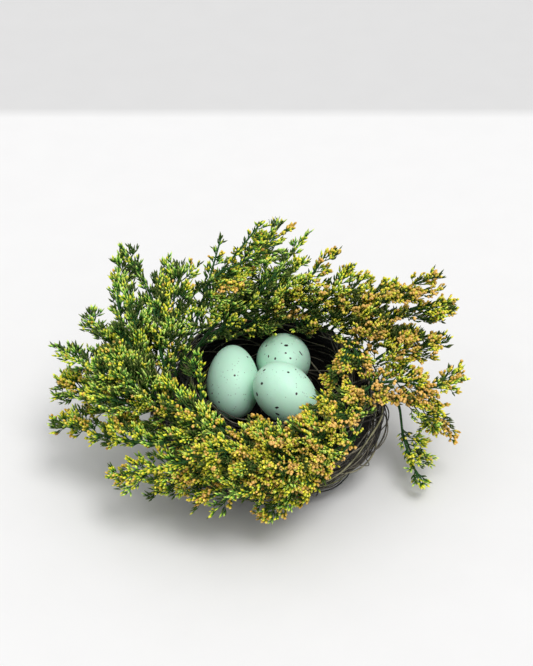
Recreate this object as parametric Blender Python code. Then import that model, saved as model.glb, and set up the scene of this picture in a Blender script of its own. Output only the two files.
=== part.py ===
"""A bird's nest of dark vine with three speckled eggs, ringed by sprays of small flowers.

Metres, +Z up. The origin is the middle of the nest's flat base, +X is to the right and -Y to the front.
The eggs lie in the hollow. Each spray is rooted in a socket in the nest's wall and is laid round the
rim, clockwise as seen from above, with its tip free.
"""

import math

import bmesh
import bpy
import numpy as np
from mathutils import Vector
from mathutils.bvhtree import BVHTree

MM = 0.001  # route points are whole millimetres
GAP = 0.0003  # air between two pieces that touch
SOCKET_GAP = 0.00036  # round a root, at the corners of its five sides
UP = np.array((0.0, 0.0, 1.0))

# Nest: a turned wall of vine coils round an off-centre hollow
WALL_OUTLINE = ((40, 0), (51, 5), (60, 15), (64, 27), (61.5, 39), (57, 48))  # radius and height, mm
COILS = 6
COIL_DEPTH = 0.0011
COIL_WANDER = 0.0012  # how far a coil strays from level
RIM_RADIUS = 0.0503
RIM_HEIGHT = 0.050
HOLLOW_CENTRE = np.array((0.0, 0.010, 0.0))
HOLLOW_RADIUS = 0.0430
HOLLOW_DEPTH = 0.0345
HOLLOW_FULLNESS = 2.4  # power of the superellipse that the hollow is turned from
HOLLOW_RINGS = 6
NEST_SIDES = 28

# Eggs: name, length, width, middle, and the way that the narrow end points
EGGS = (
    ("egg_left", 0.0420, 0.0292, (-0.0194, 0.0112, 0.0375), (-0.02, 0.80, 0.60)),
    ("egg_back", 0.0390, 0.0304, (0.0088, 0.0280, 0.0392), (0.05, -0.90, 0.43)),
    ("egg_front", 0.0410, 0.0300, (0.0102, -0.0096, 0.0446), (0.70, -0.60, -0.38)),
)
EGG_TAPER = 0.10  # how much slimmer the narrow half is
EGG_SIDES = 14
EGG_RINGS = 9

# Sprays: a stem that swells into a plume of flowers, with smaller plumes on both sides
STEM_RADIUS = 0.0009
STEM_TAPER = 0.4
STEM_SIDES = 5
STEM_RINGS = 8
PLUME_RADIUS = 0.0026
SIDE_PLUME_RADIUS = 0.0022
PLUME_SIDES = 4
PLUME_RINGS = (0, 0.45, 1)  # share of its length at each ring, the last being its tip
PLUME_BELLY = 0.45  # where along it a plume is thickest
PLUME_FOOT = 0.25  # how thick a side plume's foot is, as a share of its belly
PLUME_SPACING = 0.0109  # along the flowered part of a stem
PLUME_ANGLES = (math.radians(50), math.radians(30))  # to the stem, at a plume's foot and at its tip
PLUME_STEPS = 4  # straight stretches that a bending plume's middle line is worked out from
PLUME_ROLLS = tuple(math.radians(roll) for roll in (0, 35, -35, 70, -70))  # tried in turn round the stem
PLUME_SCATTER = math.radians(25)  # how far round the stem a plume strays from its side
LAST_PLUME = 0.9  # share of the stem by which the side plumes end
LEAST_RADIUS = 0.0005  # a plume ends where it has less room than this
SHORTEST_PLUME = 0.007
PLUME_SHORTENING = 0.5  # of the reach, from the first side plume to the last
BALL_BULGE = 0.0002  # room kept for what the balls that stand for a tube leave out
SAMPLE_STEP = 0.0012  # between the points where a stem's or a plume's room is measured

TAN_SIDES = ("sprig_right", "sprig_rim", "sprig_front")  # their flowers have dried to tan

# Name, route from root to tip in mm, reach of the side plumes in mm, share of the stem without flowers
SPRIGS = (
    ("sprig_left_low", ((-26, -44, 44), (-56, -52, 42), (-89, -37, 36), (-114, -20, 33)), 17, 0.25),
    ("sprig_left_mid", ((-31, -36, 44), (-63, -28, 51), (-91, -8, 44), (-116, 4, 40)), 19, 0.25),
    ("sprig_left_high", ((-42, -28, 44), (-66, -25, 57), (-87, -14, 59), (-116, 23, 60)), 15, 0.30),
    ("sprig_left_outer", ((-50, -22, 43), (-67, -23, 62), (-84, 2, 70), (-101, 24, 74)), 15, 0.30),
    ("sprig_left_back", ((-53, -16, 42), (-69, -12, 70), (-80, 14, 84), (-82, 47, 96)), 14, 0.30),
    ("sprig_left_tall", ((-51, -9, 42), (-59, -4, 74), (-65, 20, 92), (-82, 50, 104)), 15, 0.35),
    ("sprig_left_fill", ((-53, -4, 41), (-63, -4, 58), (-73, 3, 64), (-87, 9, 68)), 14, 0.25),
    ("sprig_left_upright", ((-50, 0, 43), (-52, 8, 72), (-52, 21, 86), (-49, 35, 98)), 17, 0.25),
    ("sprig_back_corner", ((-51, 7, 42), (-40, 22, 72), (-34, 36, 90), (-28, 56, 104)), 14, 0.30),
    ("sprig_back_left", ((-53, 13, 43), (-43, 28, 80), (-25, 35, 96), (-3, 63, 110)), 15, 0.35),
    ("sprig_back_tall", ((-47, 21, 42), (-25, 29, 72), (-10, 46, 92), (8, 65, 108)), 16, 0.32),
    ("sprig_back_fine", ((-41, 34, 42), (-17, 34, 66), (2, 45, 84), (23, 67, 100)), 15, 0.30),
    ("sprig_back_mid", ((-32, 43, 42), (-12, 44, 57), (4, 45, 76), (20, 58, 88)), 14, 0.25),
    ("sprig_back_spire", ((-9, 55, 42), (9, 52, 61), (23, 49, 82), (34, 56, 96)), 12, 0.30),
    ("sprig_back_right", ((2, 55, 43), (21, 47, 59), (35, 44, 78), (45, 52, 90)), 13, 0.25),
    ("sprig_back_feather", ((15, 54, 43), (32, 50, 59), (46, 50, 74), (56, 54, 84)), 14, 0.25),
    ("sprig_back_low", ((27, 48, 43), (39, 46, 55), (55, 49, 68), (69, 57, 78)), 15, 0.20),
    ("sprig_right_tuft", ((32, 45, 42), (40, 39, 58), (50, 36, 65), (61, 35, 71)), 13, 0.25),
    ("sprig_right_long", ((37, 42, 43), (52, 41, 64), (73, 43, 80), (96, 41, 92)), 15, 0.32),
    ("sprig_right_high", ((46, 30, 43), (57, 29, 60), (80, 33, 72), (102, 28, 80)), 17, 0.30),
    ("sprig_right_mid", ((49, 20, 43), (60, 26, 55), (76, 24, 60), (87, 21, 62)), 15, 0.20),
    ("sprig_right_inner", ((42, 36, 42), (45, 17, 62), (41, 3, 60), (31, -4, 52)), 12, 0.25),
    ("sprig_right_out", ((50, 9, 43), (64, 15, 54), (82, 17, 58), (98, 15, 62)), 15, 0.25),
    ("sprig_right_reach", ((52, 1, 42), (71, -8, 48), (90, -6, 48), (105, 7, 54)), 14, 0.30),
    ("sprig_right_curl", ((53, -6, 42), (80, -9, 42), (101, -5, 32), (85, -21, 22)), 13, 0.40),
    ("sprig_right_hanging", ((56, -9, 36), (70, -7, 36), (74, -20, 22), (82, -45, 10)), 12, 0.40),
    ("sprig_rim_right", ((57, 5, 43), (53, -18, 56), (38, -29, 58), (20, -26, 56)), 13, 0.20),
    ("sprig_front_right", ((54, -14, 42), (46, -36, 54), (29, -49, 55), (17, -43, 52)), 14, 0.20),
    ("sprig_front_upper", ((49, -21, 43), (35, -46, 51), (12, -60, 54), (-11, -49, 52)), 15, 0.25),
    ("sprig_front_edge", ((50, -28, 42), (40, -52, 43), (28, -63, 36), (17, -70, 18)), 13, 0.25),
    ("sprig_front_low", ((41, -36, 43), (28, -60, 45), (10, -73, 35), (-3, -76, 16)), 16, 0.28),
    ("sprig_front_left", ((33, -44, 43), (14, -68, 48), (-10, -77, 42), (-37, -72, 30)), 16, 0.28),
    ("sprig_front_fill", ((26, -45, 43), (13, -64, 51), (2, -68, 46), (-14, -68, 38)), 13, 0.25),
    ("sprig_front_reach", ((15, -51, 43), (-9, -61, 51), (-40, -64, 44), (-85, -60, 28)), 16, 0.32),
    ("sprig_front_tuft", ((7, -51, 42), (-17, -66, 43), (-40, -63, 28), (-61, -59, 14)), 12, 0.40),
    ("sprig_inner_left", ((-3, -50, 43), (-24, -49, 52), (-39, -41, 58), (-54, -22, 66)), 15, 0.25),
    ("sprig_inner_curl", ((-12, -50, 44), (-29, -42, 54), (-36, -19, 54), (-37, 11, 56)), 10, 0.25),
)


def new_material(name, colour, roughness):
    material = bpy.data.materials.new(name)
    material.use_nodes = True
    shader = material.node_tree.nodes["Principled BSDF"]
    shader.inputs["Base Color"].default_value = (*colour, 1.0)
    shader.inputs["Roughness"].default_value = roughness
    shader.inputs["Metallic"].default_value = 0.0
    return material


def new_object(name, bm, material):
    """The bmesh as a smooth-shaded object, with its faces turned outwards."""
    bmesh.ops.recalc_face_normals(bm, faces=bm.faces)
    mesh = bpy.data.meshes.new(name)
    bm.to_mesh(mesh)
    bm.free()
    mesh.materials.append(material)
    mesh.shade_smooth()
    mesh.set_sharp_from_angle(angle=math.radians(40))
    thing = bpy.data.objects.new(name, mesh)
    bpy.context.collection.objects.link(thing)
    return thing


def hide_helper(thing):
    thing.hide_render = True
    thing.display_type = "WIRE"


def add_boolean(thing, operation, helpers):
    """A Boolean with every object of a collection of helpers."""
    group = bpy.data.collections.new(f"{thing.name}_{operation.lower()}")
    for helper in helpers:
        hide_helper(helper)
        group.objects.link(helper)
    modifier = thing.modifiers.new(operation.title(), "BOOLEAN")
    modifier.operation = operation
    modifier.solver = "EXACT"
    modifier.operand_type = "COLLECTION"
    modifier.collection = group
    modifier.use_self = True


def add_ring(bm, points):
    return [bm.verts.new(point) for point in points]


def join_rings(bm, first, second):
    for k in range(len(first)):
        after = (k + 1) % len(first)
        bm.faces.new((first[k], first[after], second[after], second[k]))


def close_ring(bm, ring, point):
    """A fan from a ring to one point."""
    tip = bm.verts.new(point)
    for k in range(len(ring)):
        bm.faces.new((ring[k], ring[(k + 1) % len(ring)], tip))


def lengths_along(points):
    return np.concatenate(([0], np.cumsum(np.linalg.norm(np.diff(points, axis=0), axis=1))))


def points_at(points, lengths):
    """The points that lie at some lengths along a line of straight stretches."""
    along = lengths_along(points)
    return np.stack([np.interp(lengths, along, points[:, k]) for k in range(points.shape[1])], axis=-1)


# Nest


def wall_profile():
    """Radius and height of each ring of the outer wall: the outline, pushed in and out by the coils."""
    outline = np.array(WALL_OUTLINE) * MM
    profile = points_at(outline, np.linspace(0, lengths_along(outline)[-1], 2 * COILS + 1))
    profile[1::2, 0] += COIL_DEPTH
    profile[2::2, 0] -= COIL_DEPTH
    return profile


def hollow_profile():
    """Radius and height of each ring of the hollow, from its edge down: a quarter of a superellipse."""
    turn = np.linspace(0, math.pi / 2, HOLLOW_RINGS + 1)[:-1]
    power = 2 / HOLLOW_FULLNESS
    radius = HOLLOW_RADIUS * np.cos(turn) ** power
    height = RIM_HEIGHT - HOLLOW_DEPTH * np.sin(turn) ** power
    return np.stack([radius, height], axis=1)


def nest_ring(radius, height, centre, wander):
    """A ring that is a little out of round and out of level."""
    turn = np.arange(NEST_SIDES) * 2 * math.pi / NEST_SIDES
    out = radius + wander * np.sin(3 * turn + 90 * height)
    level = height + wander * np.sin(2 * turn + 140 * height)
    return np.stack([out * np.cos(turn), out * np.sin(turn), level], axis=1) + centre


def make_nest(material):
    bm = bmesh.new()
    wall = wall_profile()
    rings = [nest_ring(*wall[0], (0, 0, 0), 0)]
    rings += [nest_ring(radius, height, (0, 0, 0), COIL_WANDER) for radius, height in wall[1:]]
    rings.append(nest_ring(RIM_RADIUS, RIM_HEIGHT, HOLLOW_CENTRE / 2, COIL_WANDER / 2))
    rings += [nest_ring(radius, height, HOLLOW_CENTRE, 0) for radius, height in hollow_profile()]
    rings = [add_ring(bm, ring) for ring in rings]
    for first, second in zip(rings, rings[1:]):
        join_rings(bm, first, second)
    close_ring(bm, rings[0], (0, 0, 0))
    close_ring(bm, rings[-1], HOLLOW_CENTRE + (RIM_HEIGHT - HOLLOW_DEPTH) * UP)
    return new_object("nest_bowl", bm, material)


# Eggs


def across(direction):
    """Two unit vectors square to a direction and to each other."""
    helper = UP if abs(direction[2]) < 0.9 else np.array((1.0, 0.0, 0.0))
    side = np.cross(helper, direction)
    side /= np.linalg.norm(side)
    return side, np.cross(direction, side)


def egg_profile(length, width, rings):
    """Place along the axis and radius: an ellipse, slimmer on the half that the narrow end is on."""
    turn = np.linspace(0, math.pi, rings)
    return length / 2 * np.cos(turn), width / 2 * np.sin(turn) * (1 - EGG_TAPER * np.cos(turn))


def make_egg(name, length, width, middle, towards, material):
    bm = bmesh.new()
    axis = np.array(towards) / np.linalg.norm(towards)
    side, other = across(axis)
    turn = np.arange(EGG_SIDES)[:, None] * 2 * math.pi / EGG_SIDES
    spokes = side * np.cos(turn) + other * np.sin(turn)
    places, radii = egg_profile(length, width, EGG_RINGS)
    rings = [
        add_ring(bm, middle + axis * place + spokes * radius)
        for place, radius in zip(places[1:-1], radii[1:-1])
    ]
    for first, second in zip(rings, rings[1:]):
        join_rings(bm, first, second)
    close_ring(bm, rings[0], middle + axis * places[0])
    close_ring(bm, rings[-1], middle + axis * places[-1])
    return new_object(name, bm, material)


# Sprays


def curve_through(points, count):
    """A Catmull-Rom curve through the points, with its ends carried straight on, read at equal steps."""
    points = np.array(points, float)
    held = np.vstack([2 * points[0] - points[1], points, 2 * points[-1] - points[-2]])
    at = np.linspace(0, len(points) - 1, count)
    k = np.minimum(at.astype(int), len(points) - 2)
    t = (at - k)[:, None]
    a, b, c, d = (held[k + n] for n in range(4))
    return 0.5 * (2 * b + (c - a) * t + (2 * a - 5 * b + 4 * c - d) * t**2 + (3 * b - a - 3 * c + d) * t**3)


def sampled(points, radii):
    """Balls that fill a tube: points close together on its middle line, and its radius at each."""
    along = lengths_along(points)
    at = np.linspace(0, along[-1], max(3, int(along[-1] / SAMPLE_STEP)))
    return points_at(points, at), np.interp(at, along, radii)


def room_at(points, centres, radii):
    """How far each point is from the nearest of the balls."""
    return (np.linalg.norm(points[:, None] - centres[None], axis=2) - radii[None]).min(axis=1)


def plume_swell(along, start):
    """0 on the bare stem, 1 at the plume's belly, and 0 again at its tip."""
    place = np.clip((along - start) / (1 - start), 0, 1)
    rise = np.clip(place / PLUME_BELLY, 0, 1)
    fall = np.clip((1 - place) / (1 - PLUME_BELLY), 0, 1)
    return np.minimum(np.sin(rise * math.pi / 2), np.sqrt(fall) * fall**0.25)


def make_tube(name, points, radii, sides, material):
    """A tube along points, closed flat at its foot and by a point at its tip."""
    bm = bmesh.new()
    turn = np.arange(sides)[:, None] * 2 * math.pi / sides
    tangents = np.gradient(points, axis=0)
    tangents /= np.linalg.norm(tangents, axis=1)[:, None]
    side = across(tangents[0])[0]
    rings = []
    for point, tangent, radius in zip(points[:-1], tangents, radii):
        side = side - tangent * (side @ tangent)
        side /= np.linalg.norm(side)
        other = np.cross(tangent, side)
        rings.append(add_ring(bm, point + radius * (side * np.cos(turn) + other * np.sin(turn))))
    for first, second in zip(rings, rings[1:]):
        join_rings(bm, first, second)
    bm.faces.new(rings[0])
    close_ring(bm, rings[-1], points[-1])
    return new_object(name, bm, material)


def plume_route(stem, place, side_way, reach):
    """A side plume's middle line: it leaves the stem at an angle and bends towards the stem's tip."""
    length = lengths_along(stem)[-1]
    foot, beyond = points_at(stem, np.array((place, place + 0.05)) * length)
    ahead = (beyond - foot) / np.linalg.norm(beyond - foot)
    side, other = across(ahead)
    out = side * math.cos(side_way) + other * math.sin(side_way)
    angles = np.linspace(*PLUME_ANGLES, PLUME_STEPS)[:, None]
    steps = ahead * np.cos(angles) + out * np.sin(angles)
    step = reach / math.sin(sum(PLUME_ANGLES) / 2) / PLUME_STEPS
    return foot + np.vstack([np.zeros(3), np.cumsum(steps * step, axis=0)])


class Surroundings:
    """What a spray has to keep clear of: the nest, the eggs, and the balls that fill the other sprays."""

    def __init__(self, fixed):
        depsgraph = bpy.context.evaluated_depsgraph_get()
        self.trees = [BVHTree.FromObject(thing, depsgraph) for thing in fixed]
        self.balls = []

    def clear_of_fixed(self, points):
        """Each point's distance to the nearest of the nest and the eggs, below 0 inside one of them."""
        return np.array([min(self.distance(tree, Vector(point)) for tree in self.trees) for point in points])

    @staticmethod
    def distance(tree, point):
        place, normal, _, distance = tree.find_nearest(point)
        return distance if (point - place).dot(normal) > 0 else -distance

    def add(self, owner, centres, radii):
        self.balls.append((owner, centres, radii))

    def room(self, owner, points):
        """How thick a piece of one spray may be round each point."""
        centres = np.concatenate([centres for name, centres, _ in self.balls if name != owner])
        radii = np.concatenate([radii for name, _, radii in self.balls if name != owner])
        return np.minimum(self.clear_of_fixed(points), room_at(points, centres, radii)) - GAP - BALL_BULGE


def limited(points, radii, room_of):
    """The radii at the rings of a tube, none thicker than the room on the stretches either side of it."""
    centres = sampled(points, radii)[0]
    room = room_of(centres)
    ring = np.interp(lengths_along(centres), lengths_along(points), np.arange(len(points)))
    limits = [room[np.abs(ring - k) < 1].min() for k in range(len(points))]
    return np.minimum(radii, limits)


def bare_radii(along):
    """A stem thins evenly towards its tip."""
    return STEM_RADIUS * (1 - STEM_TAPER * along)


def lay_stems(surroundings):
    """Each spray's middle line and radii. Two stems share the room between them equally."""
    lines = {name: curve_through(np.array(route) * MM, STEM_RINGS) for name, route, _, _ in SPRIGS}
    thin = np.zeros(STEM_RINGS)
    stems = {}
    for name, _, _, bare in SPRIGS:
        others = np.concatenate([sampled(line, thin)[0] for other, line in lines.items() if other != name])

        def shared_room(points):
            between = room_at(points, others, np.zeros(len(others))) / 2
            return np.minimum(between, surroundings.clear_of_fixed(points)) - GAP - BALL_BULGE

        along = lengths_along(lines[name]) / lengths_along(lines[name])[-1]
        plain = bare_radii(along)
        swell = plume_swell(along, bare)
        wanted = plain * (1 - swell) + PLUME_RADIUS * swell
        roomy = limited(lines[name], wanted, shared_room)
        stems[name] = (lines[name], np.maximum(roomy, np.minimum(wanted, plain)))
    return stems


def free_length(name, route, surroundings):
    """How far along a side plume's route there is room for a thin one."""
    centres = sampled(route, np.zeros(len(route)))[0]
    blocked = surroundings.room(name, centres) < LEAST_RADIUS
    clear = np.argmax(blocked) if blocked.any() else len(centres)
    return lengths_along(centres)[clear - 1] if clear else 0.0


def grow_plume(name, stem, place, way, reach, surroundings):
    """A side plume on the side of the stem with the most room, or None where there is too little."""
    routes = [plume_route(stem, place, way + roll, reach) for roll in PLUME_ROLLS]
    frees = [free_length(name, route, surroundings) for route in routes]
    best = int(np.argmax(np.round(frees, 3)))
    free = frees[best]
    if free < SHORTEST_PLUME:
        return None
    shares = np.array(PLUME_RINGS)
    points = points_at(routes[best], shares * free)
    wanted = SIDE_PLUME_RADIUS * (PLUME_FOOT + (1 - PLUME_FOOT) * plume_swell(shares, 0))
    radii = limited(points, wanted, lambda centres: surroundings.room(name, centres))
    return points, np.maximum(radii, LEAST_RADIUS)


def make_sprig(name, stem, radii, reach, bare, surroundings, material):
    """A stem with its side plumes joined to it, on alternate sides and shorter towards the tip."""
    sprig = make_tube(name, stem, radii, STEM_SIDES, material)
    count = round(lengths_along(stem)[-1] * (1 - bare) / PLUME_SPACING)
    plumes = []
    for k in range(count):
        place = bare + (LAST_PLUME - bare) * (k + 0.3) / count
        way = math.pi * (k % 2) + PLUME_SCATTER * math.sin(2.4 * k)
        shorter = reach * MM * (1 - PLUME_SHORTENING * k / count)
        grown = grow_plume(name, stem, place, way, shorter, surroundings)
        if grown is not None:
            surroundings.add(name, *sampled(*grown))
            plumes.append(make_tube(f"{name}_plume_{k + 1}", *grown, PLUME_SIDES, material))
    add_boolean(sprig, "UNION", plumes)
    return sprig


def make_socket(name, stem, radii, surroundings, material):
    """The hole that a root sits in: its stem made thicker, to just past the first ring outside the wall."""
    last = np.argmax(surroundings.clear_of_fixed(stem) > 2 * STEM_RADIUS) + 1
    back = stem[0] - GAP * (stem[1] - stem[0]) / np.linalg.norm(stem[1] - stem[0])
    points = np.vstack([back, stem[1 : last + 1]])
    return make_tube(f"{name}_socket", points, radii[: last + 1] + SOCKET_GAP, STEM_SIDES, material)


def main():
    for thing in list(bpy.data.objects):
        bpy.data.objects.remove(thing)
    vine = new_material("dark_vine", (0.045, 0.030, 0.020), 0.75)
    shell = new_material("egg_shell", (0.62, 0.80, 0.66), 0.35)
    green = new_material("green_sprays", (0.12, 0.17, 0.04), 0.7)
    tan = new_material("tan_sprays", (0.33, 0.25, 0.08), 0.7)
    nest = make_nest(vine)
    eggs = [make_egg(*egg, shell) for egg in EGGS]
    surroundings = Surroundings([nest, *eggs])
    stems = lay_stems(surroundings)
    for name, stem in stems.items():
        surroundings.add(name, *sampled(*stem))
    sockets = [make_socket(name, *stem, surroundings, vine) for name, stem in stems.items()]
    for name, _, reach, bare in SPRIGS:
        flowers = tan if name.startswith(TAN_SIDES) else green
        make_sprig(name, *stems[name], reach, bare, surroundings, flowers)
    add_boolean(nest, "DIFFERENCE", sockets)


main()
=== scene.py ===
"""The looks of a vine nest with three speckled eggs, ringed by sprays of small dried flowers.

Metres, +Z up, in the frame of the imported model: the origin is the middle of the nest's flat base,
+X is to the right and -Y to the front. Every surface is worked out with numpy as whole arrays: a
profile that is carried along a path, or a function of two parameters on a grid.
"""

import math

import bpy
import numpy as np
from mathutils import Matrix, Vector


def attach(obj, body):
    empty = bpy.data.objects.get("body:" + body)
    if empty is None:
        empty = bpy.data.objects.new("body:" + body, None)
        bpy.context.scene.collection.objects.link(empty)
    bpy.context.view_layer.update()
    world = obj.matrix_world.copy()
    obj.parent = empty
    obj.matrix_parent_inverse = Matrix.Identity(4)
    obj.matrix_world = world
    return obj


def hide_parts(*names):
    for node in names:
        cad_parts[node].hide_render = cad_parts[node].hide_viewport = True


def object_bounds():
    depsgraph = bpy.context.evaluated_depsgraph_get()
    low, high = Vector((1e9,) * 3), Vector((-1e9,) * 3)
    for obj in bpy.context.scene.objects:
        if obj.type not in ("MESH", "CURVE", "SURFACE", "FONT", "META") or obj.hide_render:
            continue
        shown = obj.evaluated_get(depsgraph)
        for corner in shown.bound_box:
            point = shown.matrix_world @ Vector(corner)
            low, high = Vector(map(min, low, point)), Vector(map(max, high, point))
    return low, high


bl_info = {
    "name": "Nest With Speckled Eggs",
    "version": (1, 0, 0),
    "blender": (4, 5, 0),
    "location": "3D View > Sidebar > Nest",
    "description": "Dresses the packed nest: woven vine, speckled eggs and flowering sprays",
    "category": "Object",
}

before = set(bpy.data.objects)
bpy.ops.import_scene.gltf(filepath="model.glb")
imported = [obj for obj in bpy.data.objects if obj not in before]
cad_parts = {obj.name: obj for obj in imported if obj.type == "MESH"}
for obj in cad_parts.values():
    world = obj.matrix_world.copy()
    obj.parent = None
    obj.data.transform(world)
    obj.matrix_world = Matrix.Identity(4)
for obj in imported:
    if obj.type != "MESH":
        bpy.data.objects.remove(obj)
CAD_BOX = np.array([list(corner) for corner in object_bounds()])

MM = 0.001
UP = np.array((0.0, 0.0, 1.0))
BOWL_SEED, EGG_SEED, CLUMP_SEED, SPRAY_SEED = 11, 5, 3, 100  # of the random draws
BAKE_MAP = "OFBake"  # the map that colours are read from: place along a strand or flower, and its tone
MAP_WIDTH = 0.002  # half of a tube's width on the map
FOOT_POINT, TIP_POINT = 0.3, 0.8  # how far a tube's ends stand out, as a share of its radius there

# Photograph, and the camera that sees as it did
PHOTO_SIZE = np.array((533.0, 666.0))  # pixels
SENSOR = 36.0  # mm, along the photograph's longer side
FOCAL_PIXELS = 1454.0
CAMERA_PLACE = np.array((-0.000825, -0.62546, 0.53354))
CAMERA_PITCH = math.radians(36)  # below level
CAMERA_RIGHT = np.array((1.0, 0.0, 0.0))
CAMERA_UP = np.array((0.0, math.sin(CAMERA_PITCH), math.cos(CAMERA_PITCH)))
CAMERA_AHEAD = np.array((0.0, math.cos(CAMERA_PITCH), -math.sin(CAMERA_PITCH)))

# Nest: the outline that the bowl is turned from, in mm, as in its solid
WALL_OUTLINE = ((40, 0), (51, 5), (60, 15), (64, 27), (61.5, 39), (57, 48))  # radius and height
RIM_RADIUS, RIM_HEIGHT = 50.3, 50.0
HOLLOW_SHIFT = 10.0  # of the hollow's middle, towards the back
HOLLOW_RADIUS, HOLLOW_DEPTH = 43.0, 34.5
HOLLOW_FULLNESS = 2.4  # power of the superellipse that the hollow is turned from
HOLLOW_STEPS = 8
RIM_DIP, DIP_FROM = 6.5, 28.0  # how far the rim is pressed down at the front, and from which height on
SKIN_STEPS = 160
CORE_RINGS, CORE_SIDES = 64, 96
CORE_WANDER = 0.5 * MM  # how uneven the core's surface is
CORE_BAND = (0.988, 0.010)  # middle and half width of its strip of the map, past those of the strands
STRAND_RINGS, STRAND_SIDES = 38, 4
STRAND_SPREAD = (0.62, 1.3)  # thickness of the thinnest and thickest strand, as a share of the middling one's
STRAND_TAPER = 0.35  # how much slimmer a strand is at its ends
STRAND_SINK, STRAND_TUCK = 1.2 * MM, 0.125  # how deep its ends are tucked in, and over what share of it
STANDING_LOOPS = (0.3, 1)  # height of the lowest and of the highest loops, as a share of the family's
STRAND_MAP = (0.6, 1)  # shortest and longest stretch of the map that a strand takes
STRAND_TONES = (1.6, 2.6)  # of the beta distribution of their tones, in which dark ones are more frequent
KNOT_DEPTH = 0.10  # how uneven its thickness is
# Waves of a strand's place, of its finer place, of its lift and of its thickness, each as the slowest and the
# fastest, in radians of the wave for each radian that the strand turns round the nest
PLACE_WAVES, FINE_WAVES, LIFT_WAVES, KNOT_WAVES = (2.0, 3.6), (5, 9), (3, 6), (9, 15)

# Families of strands: count, lowest and highest place on the skin (0 the middle of the base, 0.24 its edge,
# 0.6 the rim, 1 the hollow's floor), turns round the nest in radians, climb, wave, lift in mm and how far
# the loops stand out in mm
STRANDS = {
    "under": (24, (0.08, 0.23), (1.5, 3.0), 0.05, 0.020, (-1.0, 0.0), 0.0),
    "wall": (90, (0.25, 0.58), (1.4, 3.2), 0.09, 0.028, (-4.2, -1.0), 0.8),
    "slant": (90, (0.30, 0.54), (0.9, 1.9), 0.26, 0.030, (-3.6, -0.6), 1.2),
    "steep": (40, (0.34, 0.50), (0.5, 1.1), 0.30, 0.020, (-3.2, -0.2), 1.5),
    "rim": (50, (0.57, 0.63), (1.0, 2.2), 0.03, 0.040, (-1.2, 0.6), 0.8),
    "inner": (76, (0.64, 0.96), (1.2, 2.8), 0.08, 0.020, (-1.6, -0.5), 0.0),
    "loops": (44, (0.36, 0.56), (0.8, 1.6), 0.12, 0.035, (-2.0, 0.0), 4.0),
}

# Eggs: length, width, middle and the way that the narrow end points, as in the solids
EGGS = {
    "egg_left": (0.0420, 0.0292, (-0.0194, 0.0112, 0.0375), (-0.02, 0.80, 0.60)),
    "egg_back": (0.0390, 0.0304, (0.0088, 0.0280, 0.0392), (0.05, -0.90, 0.43)),
    "egg_front": (0.0410, 0.0300, (0.0102, -0.0096, 0.0446), (0.70, -0.60, -0.38)),
}
EGG_TAPER = 0.10  # how much slimmer the narrow half is
EGG_SIDES, EGG_RINGS = 72, 48
RAY_STEPS = 4000  # by which a speckle's place on its egg is looked for

# Speckles that the photograph shows: its pixel across and down, radius in mm, half length of a streak in mm
# and its slope in degrees
SPECKLES = {
    "egg_left": (
        (247.4, 356.9, 0.34, 1.8, 90), (234.7, 375.4, 0.42, 0, 0), (237.8, 375.4, 0.24, 0, 0),
        (219.0, 402.2, 0.34, 0, 0), (212.7, 384.6, 0.24, 0, 0), (212.0, 393.3, 0.30, 0.2, 20),
        (223.0, 372.0, 0.20, 0, 0), (244.5, 372.7, 0.18, 0, 0), (235.5, 394.0, 0.18, 0, 0),
    ),
    "egg_back": (
        (286.2, 345.4, 0.62, 0.3, 5), (281.6, 343.3, 0.32, 0, 0), (266.4, 345.7, 0.42, 0.2, 40),
        (301.0, 353.5, 0.32, 1.3, -45), (285.7, 353.0, 0.40, 0, 0), (268.5, 356.1, 0.34, 0.5, -70),
        (264.8, 354.3, 0.28, 0, 0), (275.2, 358.5, 0.42, 0.2, 90), (290.5, 358.3, 0.34, 0.2, 0),
        (296.5, 359.3, 0.20, 0, 0), (258.0, 353.0, 0.22, 0, 0),
    ),
    "egg_front": (
        (264.2, 370.1, 0.42, 0.3, 30), (288.3, 372.2, 0.46, 0.1, 0), (295.7, 369.5, 0.34, 0, 0),
        (305.3, 377.3, 0.36, 0.1, 0), (261.8, 383.5, 0.56, 0.1, 0), (257.0, 394.2, 0.58, 0.3, -60),
        (296.5, 393.7, 0.44, 0.1, 90), (276.6, 407.6, 0.42, 1.9, 15), (277.3, 414.1, 0.48, 0.6, 0),
        (254.6, 377.5, 0.20, 0, 0), (299.0, 415.3, 0.26, 0.4, 80),
    ),
}
HIDDEN_SPECKLES = 9  # on the side of each egg that the photograph doesn't show
HIDDEN_HALF, HIDDEN_RADIUS = (0, 0.5), (0.2, 0.55)  # their least and greatest half length and radius, mm
SMALL_SPECKLE, SMALL_SHARE = 0.0003, 0.6  # radius under which speckles are fainter, and how dark they are
SPECKLE_EDGE = (1.25, 1.50)  # where a speckle's edge starts to fade and where it ends, in radii
# A fine fleck's radius in its cell, the level of a noise above which it shows, and how dark it is
FLECK_SIZE, FLECK_LEVEL, FLECK_SHARE = 0.20, 0.62, 0.45

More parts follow.
